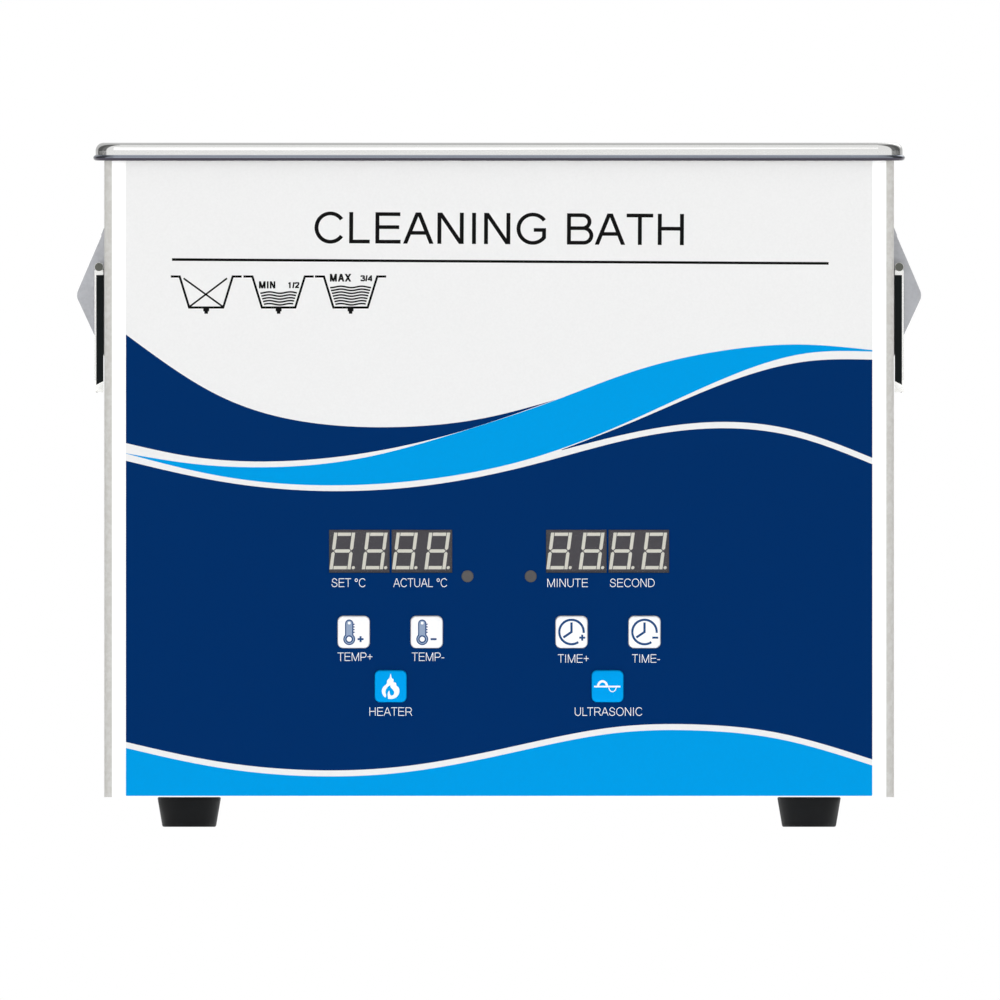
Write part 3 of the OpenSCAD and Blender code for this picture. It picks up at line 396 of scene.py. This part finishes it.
def stroke(points, width):
    """The outline of a line of the given width along the points, with square ends."""
    path = np.array(points, float)
    ahead = np.diff(path, axis=0)
    ahead /= np.linalg.norm(ahead, axis=1)[:, None]
    along = np.vstack([ahead[:1], ahead[:-1] + ahead[1:], ahead[-1:]])
    along /= np.linalg.norm(along, axis=1)[:, None]
    square = np.vstack([ahead[:1], ahead])
    across = np.stack([-along[:, 1], along[:, 0]], 1)
    across /= np.abs((along * square).sum(1))[:, None]
    half = across * width / 2
    return [tuple(p) for p in path - half] + [tuple(p) for p in (path + half)[::-1]]


def moved(loops, x, z, turn=0.0):
    """Loops turned about the origin by an angle in degrees, then moved."""
    c, s = math.cos(math.radians(turn)), math.sin(math.radians(turn))
    return [[(x + c * px - s * pz, z + s * px + c * pz) for px, pz in loop] for loop in loops]


def slant(x0, z0, x1, z1, pen):
    """A sloping line with level ends, whose middles are at x0 and x1."""
    half = pen * math.hypot(x1 - x0, z1 - z0) / abs(z1 - z0) / 2
    return [(x0 - half, z0), (x0 + half, z0), (x1 + half, z1), (x1 - half, z1)]


CAP = 716
KERNING = {"LT": -74}


def alphabet(pen):
    """Plain sans capitals drawn with an even pen, as (advance, left bearing, strokes) for each character.
    The body is 1000 units and a capital is 716 high."""
    h = pen / 2
    edge = 1.2 * h
    top, middle = CAP - h, CAP / 2

    def upright(x, low=0, high=CAP):
        return stroke([(x, low), (x, high)], pen)

    def level(z, x0, x1):
        return stroke([(x0, z), (x1, z)], pen)

    def sloped(x0, z0, x1, z1):
        return slant(x0, z0, x1, z1, pen)

    def line(*points):
        return stroke(points, pen)

    def bowl(right, low, high=top):
        radius = (high - low) / 2
        curve = ellipse((right - h - radius, low + radius), radius, radius, 90, -90)
        return line((h, high), *curve, (h, low))

    def bend(x, z, rx, rz, start, end):
        return line(*ellipse((x, z), rx - h, rz - h, start, end, 30))

    def ring(x, z, rx, rz):
        return [bend(x, z, rx, rz, start, start + 180) for start in (90, 270)]

    two = [(45, 505), (75, 622), (235, top), (395, 625), (432, 525), (375, 395), (220, 245), (60, 60)]
    three_top = [(45, 535), (90, 635), (225, top), (365, 630), (400, 530), (350, 425), (200, 385)]
    three_foot = [(200, 385), (365, 350), (432, 210), (375, 85), (225, h), (85, 90), (41, 200)]
    snake = [(512, 500), (488, 590), (410, 655), (280, top + 8), (150, 650), (88, 555), (92, 470), (165, 405),
             (300, 365), (430, 325), (520, 250), (522, 140), (440, 58), (290, h - 8), (130, 60), (60, 130),
             (41, 240)]
    open_ring = ellipse((350, middle), 350 - h, middle + 10 - h, 36, 322, 30)
    return {
        " ": (278, 0, []),
        "A": (667, 0, [sloped(edge, 0, 322, CAP), sloped(667 - edge, 0, 345, CAP), level(248, 130, 537)]),
        "B": (667, 77, [upright(h), bowl(525, middle + 18), bowl(567, h, middle + 18)]),
        "C": (722, 50, [bend(341, middle, 341, middle + 10, 36, 324)]),
        "D": (722, 77, [upright(h), bowl(597, h)]),
        "E": (667, 79, [line((535, top), (h, top), (h, h), (542, h)), level(middle + 18, h, 512)]),
        "G": (778, 50, [line(*open_ring, (open_ring[-1][0], 330), (370, 330))]),
        "H": (722, 80, [upright(h), upright(561 - h), level(middle + 18, h, 561 - h)]),
        "I": (278, 139 - h, [upright(h)]),
        "L": (556, 73, [line((h, CAP), (h, h), (443, h))]),
        "M": (833, 74, [upright(h), upright(683 - h), sloped(edge, CAP, 341, 0),
                        sloped(683 - edge, CAP, 341, 0)]),
        "N": (722, 76, [upright(h), upright(565 - h), sloped(edge, CAP, 565 - edge, 0)]),
        "O": (778, 48, ring(343, middle, 343, middle + 10)),
        "P": (667, 77, [upright(h), bowl(545, 310)]),
        "R": (722, 79, [upright(h), bowl(560, 330), sloped(626 - edge, 0, 350, 340)]),
        "S": (667, 45, [line(*spline(snake, False))]),
        "T": (611, 21, [level(top, 0, 572), upright(286)]),
        "U": (722, 79, [line((h, CAP), *ellipse((281, 271), 281 - h, 281 - h, 180, 360), (562 - h, CAP))]),
        "X": (667, 4, [sloped(edge, 0, 656 - edge, CAP), sloped(656 - edge, 0, edge, CAP)]),
        "+": (584, 55, [level(middle, 0, 473), upright(236, middle - 236, middle + 236)]),
        "-": (333, 32, [level(262, 0, 270)]),
        "°": (400, 55, ring(145, 571, 145, 145)),
        "/": (278, 0, [sloped(h, 0, 278 - h, CAP)]),
        "1": (556, 109, [upright(264 - h), line((8, 550), (264 - h, top))]),
        "2": (556, 30, [line(*spline(two, False)), level(h, 8, 473)]),
        "3": (556, 42, [line(*spline(three_top, False)), line(*spline(three_foot, False))]),
        "4": (556, 13, [upright(380), sloped(350, top, 50, 205), level(205, 0, 493)]),
    }


def lettering(words, x0, x1, baseline, cap_height, pen):
    """The strokes of a line of capitals between x0 and x1. The pen is a part of the cap height."""
    characters = alphabet(pen * CAP)
    loops = []
    reached = 0
    for before, character in zip(" " + words, words):
        advance, bearing, strokes = characters[character]
        reached += KERNING.get(before + character, 0)
        loops += [[(reached + bearing + x, z) for x, z in loop] for loop in strokes]
        reached += advance
    start = min(x for loop in loops for x, _ in loop)
    end = max(x for loop in loops for x, _ in loop)
    across = (x1 - x0) / (end - start)
    up = cap_height / CAP
    return [[(x0 + (x - start) * across, baseline + z * up) for x, z in loop] for loop in loops]


# ---- Printed faces: one flat mesh divided into areas of ink ----


def anticlockwise(loop):
    x, z = np.array(loop, float).T
    area = np.dot(x, np.roll(z, -1)) - np.dot(z, np.roll(x, -1))
    return loop if area > 0 else loop[::-1]


def divide(outline, holes, layers):
    """Divides the outline, less the holes, into triangles, each with the number of the last layer over it.
    A layer is a list of loops, and layer 0 is the bare face.
    Returns the points, the triangles, their layers, and the point that each point of the outline became."""
    loops = [(outline, "face")] + [(anticlockwise(hole), "hole") for hole in holes]
    loops += [(anticlockwise(loop), number) for number, layer in enumerate(layers, 1) for loop in layer]
    points, faces = [], []
    for loop, _ in loops:
        faces.append(list(range(len(points), len(points) + len(loop))))
        points += [Vector(p) for p in loop]
    out, _, triangles, origins, _, covers = delaunay_2d_cdt(points, [], faces, 1, 1e-4, True)
    kept, numbers = [], []
    for triangle, cover in zip(triangles, covers):
        tags = [loops[i][1] for i in cover]
        if "face" in tags and "hole" not in tags:
            kept.append(list(triangle))
            numbers.append(max((t for t in tags if t != "face"), default=0))
    became = {old: new for new, olds in enumerate(origins) for old in olds}
    return out, kept, numbers, [became[i] for i in range(len(outline))]


def make_piece(name, points, faces, inks, materials_list, body, flat=True):
    """A mesh object from points in metres, with a material number for each face, riding on a body."""
    mesh = bpy.data.meshes.new(name)
    mesh.from_pydata(points, [], faces)
    for material in materials_list:
        mesh.materials.append(material)
    mesh.polygons.foreach_set("material_index", inks)
    mesh.polygons.foreach_set("use_smooth", [not flat] * len(faces))
    mesh.validate()
    obj = bpy.data.objects.new(name, mesh)
    bpy.context.scene.collection.objects.link(obj)
    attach(obj, body)
    return obj


def printed_sheet(name, outline, holes, layers, layer_inks, materials_list, front, back, body):
    """A flat sheet from y = front to y = back, in metres, with its front face divided into inks."""
    flat, triangles, numbers, _ = divide(outline, holes, layers)
    count = len(flat)
    points = [(p[0] * MM, y, p[1] * MM) for y in (front, back) for p in flat]
    edges = {(t[i], t[(i + 1) % 3]) for t in triangles for i in range(3)}
    faces = triangles + [[i + count for i in reversed(t)] for t in triangles]
    inks = [layer_inks[n] for n in numbers] + [0] * len(triangles)
    for a, b in edges:
        if (b, a) not in edges:
            faces.append([b, a, a + count, b + count])
            inks.append(0)
    return make_piece(name, points, faces, inks, materials_list, body)


def solid_boxes(node):
    """The boxes of a CAD node's separate solids in millimetres, as (low, high), from left to right."""
    mesh = bmesh.new()
    mesh.from_mesh(frame["nodes"][node].data)
    bmesh.ops.remove_doubles(mesh, verts=mesh.verts, dist=1e-6)
    left = set(mesh.verts)
    boxes = []
    while left:
        island, edge_of_island = set(), [left.pop()]
        while edge_of_island:
            vert = edge_of_island.pop()
            island.add(vert)
            fresh = {e.other_vert(vert) for e in vert.link_edges} & left
            left -= fresh
            edge_of_island += fresh
        points = np.array([v.co for v in island]) / MM
        boxes.append((points.min(0), points.max(0)))
    mesh.free()
    return sorted(boxes, key=lambda b: tuple(b[0].round(3)))


# ---- Panel artwork ----

# Edges of the printed waves, each a spline through a few points
WAVE_TOP = [(-125.3, 165.3), (-95, 145.2), (-62, 135.5), (-34, 134.2), (-5, 137.2), (19.1, 143.4)]
WAVE_UNDER = [(-125.3, 128.8), (-103, 124.2), (-79, 122.6), (-46, 125.3), (-14, 132.4), (19.1, 143.4)]
SKY_TOP = [(-125.3, 125.4), (-103, 121.9), (-79, 120.7), (-46, 123.8), (-14, 132.3), (19.1, 143.3),
           (44.8, 152.8), (79, 160.4), (100, 161.9), (125.3, 160.0)]
SKY_UNDER = [(-125.3, 125.3), (-95, 118), (-57, 114.6), (-22, 116.9), (10.6, 123.6), (44.8, 136.6),
             (79, 151.9), (103, 158.9), (125.3, 159.5)]
FIELD_TOP = [(-125.3, 122.9), (-95, 116.2), (-57, 112.7), (-22, 114.9), (10.6, 121.4), (44.8, 130.3),
             (75, 133.8), (100, 130.8), (125.3, 121.7)]
RIGHT_FIELD_TOP = [(21.0, 126.6), (44.8, 135.9), (79, 150.1), (104.7, 156.4), (125.3, 156.8)]
RIGHT_FIELD_UNDER = [(21.0, 126.4), (44.8, 132.3), (75, 135.9), (100, 132.9), (125.3, 123.8)]
FOOT_LINE = [(-125.3, 28.5), (-96.5, 22.3), (-62, 19), (-33, 20.2), (7, 27.5), (40, 33.6),
             (68, 34.3), (92.3, 31.8), (125.3, 22.6)]
LINE_W = 2.0
PANEL_SIDE = 125.3
PANEL_FOOT = 9.0
WAVE_END = 19.1
RIGHT_FIELD_START = 21.0

TITLE_TILT = -0.32
# Width of the letters' strokes, as a part of the cap height
TITLE_PEN = 0.12
LABEL_PEN = 0.076
PICTOGRAM_PEN = 0.25


def beaker(x0, x1, rim_z, bottom_z):
    """A pictogram of a tank: rim ticks, sloping sides, bottom and drain stub, as strokes."""
    pen = 0.75
    rim = 3.0
    slope = 6.2
    middle = (x0 + x1) / 2
    return [
        stroke([(x0, rim_z), (x0 + rim, rim_z), (x0 + slope, bottom_z), (x1 - slope, bottom_z),
                (x1 - rim, rim_z), (x1, rim_z)], pen),
        rectangle(middle - 1.0, bottom_z - 1.3, middle + 1.0, bottom_z),
        rectangle(middle - 0.6, bottom_z - 2.1, middle + 0.6, bottom_z - 1.3),
    ]


def ripples(x0, x1, rim_z, bottom_z, count, top_z):
    """Wavy level lines inside a pictogram of a tank."""
    lines = []
    for i in range(count):
        z = bottom_z + 1.1 + (top_z - bottom_z - 1.1) * i / (count - 1)
        reach = 3.0 + 3.2 * (rim_z - z) / (rim_z - bottom_z) + 1.0
        xs = np.linspace(x0 + reach, x1 - reach, 25)
        lines.append(stroke([(x, z + 0.24 * math.sin((x - x0) * 0.9)) for x in xs], 0.55))
    return lines


def panel_layers():
    """The panel's layers from the bottom up, as (loops, ink number)."""
    light, navy, sky, black, white = 0, 1, 2, 3, 4
    left, right = -PANEL_SIDE, PANEL_SIDE
    floor_line = [(x, PANEL_FOOT) for x in (left, right)]
    sky_foot = [(x, z - LINE_W) for x, z in FOOT_LINE]
    layers = [
        ([between(WAVE_TOP, WAVE_UNDER, left, WAVE_END)], navy),
        ([between(SKY_TOP, SKY_UNDER, left, right, 90)], sky),
        ([between(FIELD_TOP, floor_line, left, right, 90)], navy),
        ([between(RIGHT_FIELD_TOP, RIGHT_FIELD_UNDER, RIGHT_FIELD_START, right)], navy),
        ([between(FOOT_LINE, floor_line, left, right, 90)], light),
        ([between(sky_foot, floor_line, left, right, 90)], sky),
    ]
    title = lettering("CLEANING BATH", 0, 124.0, 0, 10.5, TITLE_PEN)
    layers.append((moved(title, -62.0, 195.9, TITLE_TILT), black))
    layers.append(([stroke([(-109.8, 190.4), (110.6, 189.1)], 0.9)], black))
    rim_z, bottom_z = 184.7, 174.3
    tanks = [(-110.2, -86.4), (-85.8, -62.2), (-61.8, -37.9)]
    for x0, x1 in tanks:
        layers.append((beaker(x0, x1, rim_z, bottom_z), black))
    x0, x1 = tanks[0]
    layers.append(([stroke([(x0 + 4.3, rim_z - 0.6), (x1 - 6.2, bottom_z + 0.2)], 0.6),
                    stroke([(x1 - 4.9, rim_z - 0.6), (x0 + 6.2, bottom_z + 0.2)], 0.6)], black))
    layers.append((ripples(*tanks[1], rim_z, bottom_z, 5, 179.3), black))
    layers.append((ripples(*tanks[2], rim_z, bottom_z, 7, 181.2), black))
    for words, a, b, z, cap in (
        ("MIN", -80.6, -75.1, 180.7, 2.4), ("1/2", -70.8, -67.0, 180.8, 2.0),
        ("MAX", -56.8, -49.6, 183.0, 2.6), ("3/4", -46.6, -42.6, 183.1, 2.0),
    ):
        layers.append((lettering(words, a, b, z, cap, PICTOGRAM_PEN), black))
    for words, a, b, z, cap in (
        ("SET °C", -56.2, -44.9, 80.5, 2.9), ("ACTUAL °C", -35.5, -17.5, 80.5, 2.9),
        ("MINUTE", 16.2, 29.8, 80.5, 2.8), ("SECOND", 37.2, 52.2, 80.5, 2.8),
        ("TEMP+", -54.2, -42.5, 55.7, 2.8), ("TEMP-", -29.3, -18.4, 55.7, 2.8),
        ("TIME+", 19.7, 30.1, 55.1, 2.8), ("TIME-", 44.6, 54.0, 55.1, 2.8),
        ("HEATER", -43.5, -29.1, 37.3, 2.8), ("ULTRASONIC", 25.4, 48.0, 37.3, 2.8),
    ):
        layers.append((lettering(words, a, b, z, cap, LABEL_PEN), white))
    return layers


def build_panel(looks):
    """The printed sheet on the front, with its openings for windows, keys and lamps."""
    low, high = (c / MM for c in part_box("panel_overlay"))
    outline = rounded(low.x, low.z, high.x, high.z, 0.3, 4)
    holes = [rectangle(b[0][0] - 0.02, b[0][2] - 0.02, b[1][0] + 0.02, b[1][2] + 0.02)
             for b in solid_boxes("display_windows")]
    holes += [circle(((b[0][0] + b[1][0]) / 2, (b[0][2] + b[1][2]) / 2), (b[1][0] - b[0][0]) / 2 + 0.1)
              for b in solid_boxes("status_leds")]
    for key in KEYS:
        x, z = key_centre(key)
        reach = KEY_SIDE / 2 + KEY_GAP
        holes.append(rounded(x - reach, z - reach, x + reach, z + reach, KEY_R + KEY_GAP))
    layers = panel_layers()
    inks = [ink("ink_light", LIGHT).material, looks["panel_print"], ink("ink_sky", SKY).material,
            ink("ink_black", BLACK).material, ink("ink_white", WHITE).material]
    piece = printed_sheet("printed_panel", outline, holes, [loops for loops, _ in layers],
                          [0] + [number for _, number in layers], inks, low.y * MM, high.y * MM,
                          CASING)
    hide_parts("panel_overlay")


# ---- Displays ----

DIGIT_W = 7.1
DIGIT_H = 12.3
DIGIT_PEN = 1.1
DIGIT_GAP = 0.22
DIGIT_PITCH = 10.86
DIGIT_SLANT = math.tan(math.radians(7.3))
POINT_R = 0.54
# The first digit's lower left corner, from that of its module, and the printed face's thickness
DIGIT_INSET = (0.05, 1.1)
FACE_T = 0.08


def digit(x, z):
    """Seven segments and a point, all unlit, with the lower left corner of the digit at (x, z)."""
    half = DIGIT_PEN / 2
    start, end = DIGIT_PEN + DIGIT_GAP, DIGIT_W - DIGIT_PEN - DIGIT_GAP
    waist = DIGIT_H / 2
    loops = [rectangle(start, level, end, level + DIGIT_PEN) for level in (0, DIGIT_H - DIGIT_PEN)]
    loops.append([(start - half, waist), (start, waist - half), (end, waist - half), (end + half, waist),
                  (end, waist + half), (start, waist + half)])
    for left in (0, DIGIT_W - DIGIT_PEN):
        for outer, tip, shoulder in ((0, waist - DIGIT_GAP, waist - DIGIT_GAP - half),
                                     (DIGIT_H, waist + DIGIT_GAP, waist + DIGIT_GAP + half)):
            loops.append([(left, outer), (left + DIGIT_PEN, outer), (left + DIGIT_PEN, shoulder),
                          (left + half, tip), (left, shoulder)])
    loops.append(circle((DIGIT_W + 0.85, half), POINT_R, 16))
    return [[(x + px + pz * DIGIT_SLANT, z + pz) for px, pz in loop] for loop in loops]


def build_displays():
    """A thin printed face on the front of each digit module."""
    face = ink("display_grey", MODULE).material
    lit = ink("display_segment", SEGMENT).material
    faces = solid_boxes("display_left") + solid_boxes("display_right")
    for number, (low, high) in enumerate(faces, 1):
        x, z = low[0] + DIGIT_INSET[0], low[2] + DIGIT_INSET[1]
        layers = [digit(x, z) + digit(x + DIGIT_PITCH, z)]
        outline = rectangle(low[0], low[2], high[0], high[2])
        printed_sheet(f"display_face_{number}", outline, [], layers, [0, 1], [face, lit],
                      (low[1] - FACE_T) * MM, low[1] * MM, CASING)


# ---- Keys ----

KEYS = ["key_temp_up", "key_temp_down", "key_time_up", "key_time_down", "key_heater", "key_ultrasonic"]
KEY_SIDE = 10.6
KEY_GAP = 0.2
KEY_R = 1.8
FLANGE_DEPTH = 2.25
FLANGE_T = 0.8
STEM_R = 1.75
# The cap's rounded edge, as (distance in from the side, distance back from the face)
KEY_EDGE = [(0.45, 0.0), (0.28, 0.03), (0.13, 0.13), (0.03, 0.28), (0.0, 0.45)]


def key_centre(node):
    low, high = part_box(node)
    return (low.x + high.x) / 2 / MM, (low.z + high.z) / 2 / MM


def sign(x, z, plus):
    """A plus or a minus of half width 1, as strokes."""
    loops = [stroke([(x - 1.0, z), (x + 1.0, z)], 0.66)]
    if plus:
        loops.append(stroke([(x, z - 1.0), (x, z + 1.0)], 0.66))
    return loops


def thermometer_outline(inset):
    """The tube and bulb as one loop, drawn in by inset."""
    centre = (-1.5, -2.4)
    tube = 1.4 - inset
    bulb = 2.0 - inset
    lean = math.degrees(math.acos(tube / bulb))
    return arc(centre, bulb, 180 - lean, 360 + lean, 24) + arc((centre[0], 4.2 - 1.4), tube, 0, 180, 12)


def thermometer(plus):
    layers = [([thermometer_outline(0)], 1), ([thermometer_outline(0.38)], 2),
              ([circle((-1.5, -2.4), 1.3, 24)], 1), ([circle((-1.5, -2.4), 0.85, 24)], 0),
              ([circle((-1.5, 3.0), 0.5, 16)], 0)]
    layers += [([stroke([(-0.2, z), (0.3, z)], 0.42)], 1) for z in (2.6, 1.7, 0.8, -0.1)]
    return layers + [([loop], 1) for loop in sign(2.3, -2.4, plus)]


def clock(plus):
    pen = 0.75
    ring = stroke(arc((0, 0), 4.1, -4, 304, 44), pen)
    hour = math.radians(214)
    hands = stroke([(0, 3.2), (0, 0), (3.3 * math.cos(hour), 3.3 * math.sin(hour))], pen)
    return [([ring], 1), ([hands], 1)] + [([loop], 1) for loop in sign(3.6, -1.9, plus)]


def flame():
    outer = [(0.0, 4.2), (-0.35, 2.9), (-1.15, 1.9), (-1.3, 0.9), (-2.5, -0.3), (-2.95, -1.6), (-2.5, -3.1),
             (-1.2, -4.1), (0.3, -4.25), (1.9, -3.7), (2.85, -2.3), (2.75, -0.6), (2.0, 0.2), (1.7, 1.2),
             (1.0, 1.4), (0.95, 2.3), (0.35, 2.8)]
    swirl = [(-0.2, 0.3), (-1.2, -0.5), (-1.75, -1.8), (-1.5, -3.2), (-1.9, -4.2), (-0.9, -4.3), (-1.0, -3.0),
             (-0.9, -2.0), (-0.4, -1.5), (-0.3, -2.4), (0.1, -3.1), (0.9, -2.9), (1.2, -2.0), (0.7, -1.1),
             (0.1, -0.5)]
    return [([spline(outer)], 3), ([spline(swirl)], 0)]


def wave():
    hump = ellipse((-1.7, -0.1), 1.5, 1.75, 180, 0)
    dip = ellipse((1.65, -0.1), 1.25, 1.75, 180, 360)
    level = [(-4.5, -0.1), (4.3, -0.1)]
    return [([stroke(line, pen)], 3) for line, pen in ((level, 0.55), (hump, 0.75), (dip, 0.28))]


def build_keys(looks):
    """Each key with a rounded edge and its sign printed on the face."""
    icons = [thermometer(True), thermometer(False), clock(True), clock(False), flame(), wave()]
    navy = ink("icon_navy", ICON_NAVY).material
    grey = ink("icon_grey", ICON_GREY).material
    white = ink("icon_white", WHITE).material
    for key, layers in zip(KEYS, icons):
        slot = "key_blue" if key in ("key_heater", "key_ultrasonic") else "key_white"
        low, high = (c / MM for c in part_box(key))
        x, z = key_centre(key)
        half = KEY_SIDE / 2
        flange = (high.x - low.x) / 2
        flange_front = low.y + FLANGE_DEPTH
        flange_back = flange_front + FLANGE_T
        rings = [(rounded(x - half + d, z - half + d, x + half - d, z + half - d, KEY_R - d), low.y + back)
                 for d, back in KEY_EDGE]
        rings.append((rings[-1][0], flange_front))
        plate = rounded(x - flange, z - flange, x + flange, z + flange, KEY_R + 1)
        rings += [(plate, flange_front), (plate, flange_back)]
        reach = [STEM_R / math.hypot(px - x, pz - z) for px, pz in plate]
        stem = [(x + r * (px - x), z + r * (pz - z)) for (px, pz), r in zip(plate, reach)]
        rings += [(stem, flange_back), (stem, high.y)]
        drawn = [moved(loops, x, z) for loops, _ in layers]
        flat, triangles, numbers, edge = divide(rings[0][0], [], drawn)
        layer_inks = [0] + [number for _, number in layers]
        points = [(p[0] * MM, low.y * MM, p[1] * MM) for p in flat]
        faces = list(triangles)
        inks = [layer_inks[n] for n in numbers]
        before = edge
        for loop, y in rings[1:]:
            ring = list(range(len(points), len(points) + len(loop)))
            points += [(px * MM, y * MM, pz * MM) for px, pz in loop]
            for i in range(len(loop)):
                j = (i + 1) % len(loop)
                faces.append([before[j], before[i], ring[i], ring[j]])
            before = ring
        faces.append(before[::-1])
        inks += [0] * (len(faces) - len(inks))
        piece = make_piece(key + "_cap", points, faces, inks, [looks[slot], navy, grey, white],
                           frame["nodes"][key]["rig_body"])
        round_off(piece, 30)
        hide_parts(key)


def round_off(obj, angle):
    """Shades an object smooth, except across edges sharper than the angle."""
    mesh = obj.data
    mesh.polygons.foreach_set("use_smooth", [True] * len(mesh.polygons))
    mesh.set_sharp_from_angle(angle=math.radians(angle))


# ---- Stage, light and camera ----

CAMERA_X = 0.0003
CAMERA_Z = 0.1097
CAMERA_DISTANCE = 2.0
FRAME_W = 0.3356
FRONT_BRIGHT = 1.0
REAR_BRIGHT = 0.6
SIDE_DARK = 0.2
DIFFUSE_SHARE = 0.2

# Each light's name, place, size, power in watts, and whether it shows in the metal
LIGHTS = [
    ("key_light", (-0.7, -2.4, 1.6), (1.6, 1.6), 6, True),
    ("front_light", (0, -3.0, 0.2), (1.6, 0.6), 29, False),
    ("rear_light", (0.9, 2.2, 1.5), (1.4, 1.4), 6, True),
    ("left_light", (-2.2, -0.3, 0.9), (1.4, 1.4), 14, False),
    ("right_light", (2.2, -0.3, 0.9), (1.4, 1.4), 14, False),
]
LIT_POINT = (0, 0, 0.12)
FLOOR_GLOW = 0.92


def build_stage():
    """A pale floor under the object."""
    bpy.ops.mesh.primitive_circle_add(vertices=96, radius=20, fill_type="NGON", location=(0, 0, 0))
    floor = bpy.context.object
    floor.name = "floor"
    look = Look("floor", (0.94, 0.94, 0.94), 0.9, Specular_IOR_Level=0.0, Emission_Color=(1, 1, 1, 1),
                Emission_Strength=FLOOR_GLOW)
    look.tint(look.noise(0.4), (0.93, 0.93, 0.93))
    floor.data.materials.append(look.material)


def build_world():
    """A white studio in front and overhead, darker at the two sides and behind.
    Matt surfaces get only a share of it, so that the rim throws hardly any shadow on the panel."""
    world = bpy.data.worlds.new("studio")
    world.use_nodes = True
    bpy.context.scene.world = world
    tree = world.node_tree
    background = tree.nodes["Background"]
    place = tree.nodes.new("ShaderNodeTexCoord").outputs["Generated"]

    def number(kind, operation, *inputs):
        node = tree.nodes.new(kind)
        if operation:
            node.operation = operation
        for socket, value in zip(node.inputs, inputs):
            if isinstance(value, bpy.types.NodeSocket):
                tree.links.new(value, socket)
            else:
                socket.default_value = value
        return node

    def fade(value, start, end, low, high):
        node = number("ShaderNodeMapRange", None, value, start, end, low, high)
        node.interpolation_type = "SMOOTHSTEP"
        return node.outputs["Result"]

    level = number("ShaderNodeVectorMath", "MULTIPLY", place, (1, 1, 0)).outputs[0]
    flat = number("ShaderNodeVectorMath", "NORMALIZE", level).outputs[0]
    heading = number("ShaderNodeSeparateXYZ", None, flat)
    aside = number("ShaderNodeMath", "ABSOLUTE", heading.outputs["X"]).outputs[0]
    sideways = number("ShaderNodeMath", "MULTIPLY_ADD", heading.outputs["Y"], 0.16, aside).outputs[0]
    sides = fade(sideways, 0.84, 0.90, 1.0, SIDE_DARK)
    depth = number("ShaderNodeSeparateXYZ", None, place).outputs["Y"]
    rear = fade(depth, -0.02, 0.15, FRONT_BRIGHT, REAR_BRIGHT)
    strength = number("ShaderNodeMath", "MULTIPLY", sides, rear).outputs[0]
    rays = tree.nodes.new("ShaderNodeLightPath").outputs
    scattered = number("ShaderNodeMath", "MULTIPLY", strength, DIFFUSE_SHARE).outputs[0]
    for kind, value in (("Is Diffuse Ray", scattered), ("Is Camera Ray", 1.0)):
        strength = number("ShaderNodeMix", None, rays[kind], (0, 0, 0), strength, value).outputs[0]
    background.inputs["Color"].default_value = (1, 1, 1, 1)
    tree.links.new(strength, background.inputs["Strength"])


def area_light(name, place, size, power, reflected):
    """A rectangular light. One that isn't reflected lights the object but leaves its metal alone."""
    light = bpy.data.lights.new(name, "AREA")
    light.shape = "RECTANGLE"
    light.size, light.size_y = size
    light.energy = power
    obj = bpy.data.objects.new(name, light)
    obj.location = place
    obj.rotation_mode = "QUATERNION"
    obj.rotation_quaternion = (Vector(LIT_POINT) - Vector(place)).to_track_quat("-Z", "Y")
    obj.visible_glossy = reflected
    bpy.context.scene.collection.objects.link(obj)


def build_camera():
    """An orthographic camera, level with the middle of the front."""
    camera = bpy.data.cameras.new("camera")
    camera.type = "ORTHO"
    camera.ortho_scale = FRAME_W
    camera.clip_end = 50
    obj = bpy.data.objects.new("camera", camera)
    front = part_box("panel_overlay")[0].y
    obj.location = (CAMERA_X, front - CAMERA_DISTANCE, CAMERA_Z)
    obj.rotation_euler = (math.radians(90), 0, 0)
    bpy.context.scene.collection.objects.link(obj)
    bpy.context.scene.camera = obj
    bpy.context.scene.view_settings.view_transform = "Standard"


looks = materials()
dress_cad_nodes(looks)
soften(0.5, "foot_front_left", "foot_front_right", "foot_rear_left", "foot_rear_right")
soften(0.25, "inlet_socket", "switch_body", "power_rocker")
soften(0.12, "casing_screws", "fan_screws", "foot_screws")
build_panel(looks)
build_displays()
build_keys(looks)
build_stage()
build_world()
for light in LIGHTS:
    area_light(*light)
build_camera()
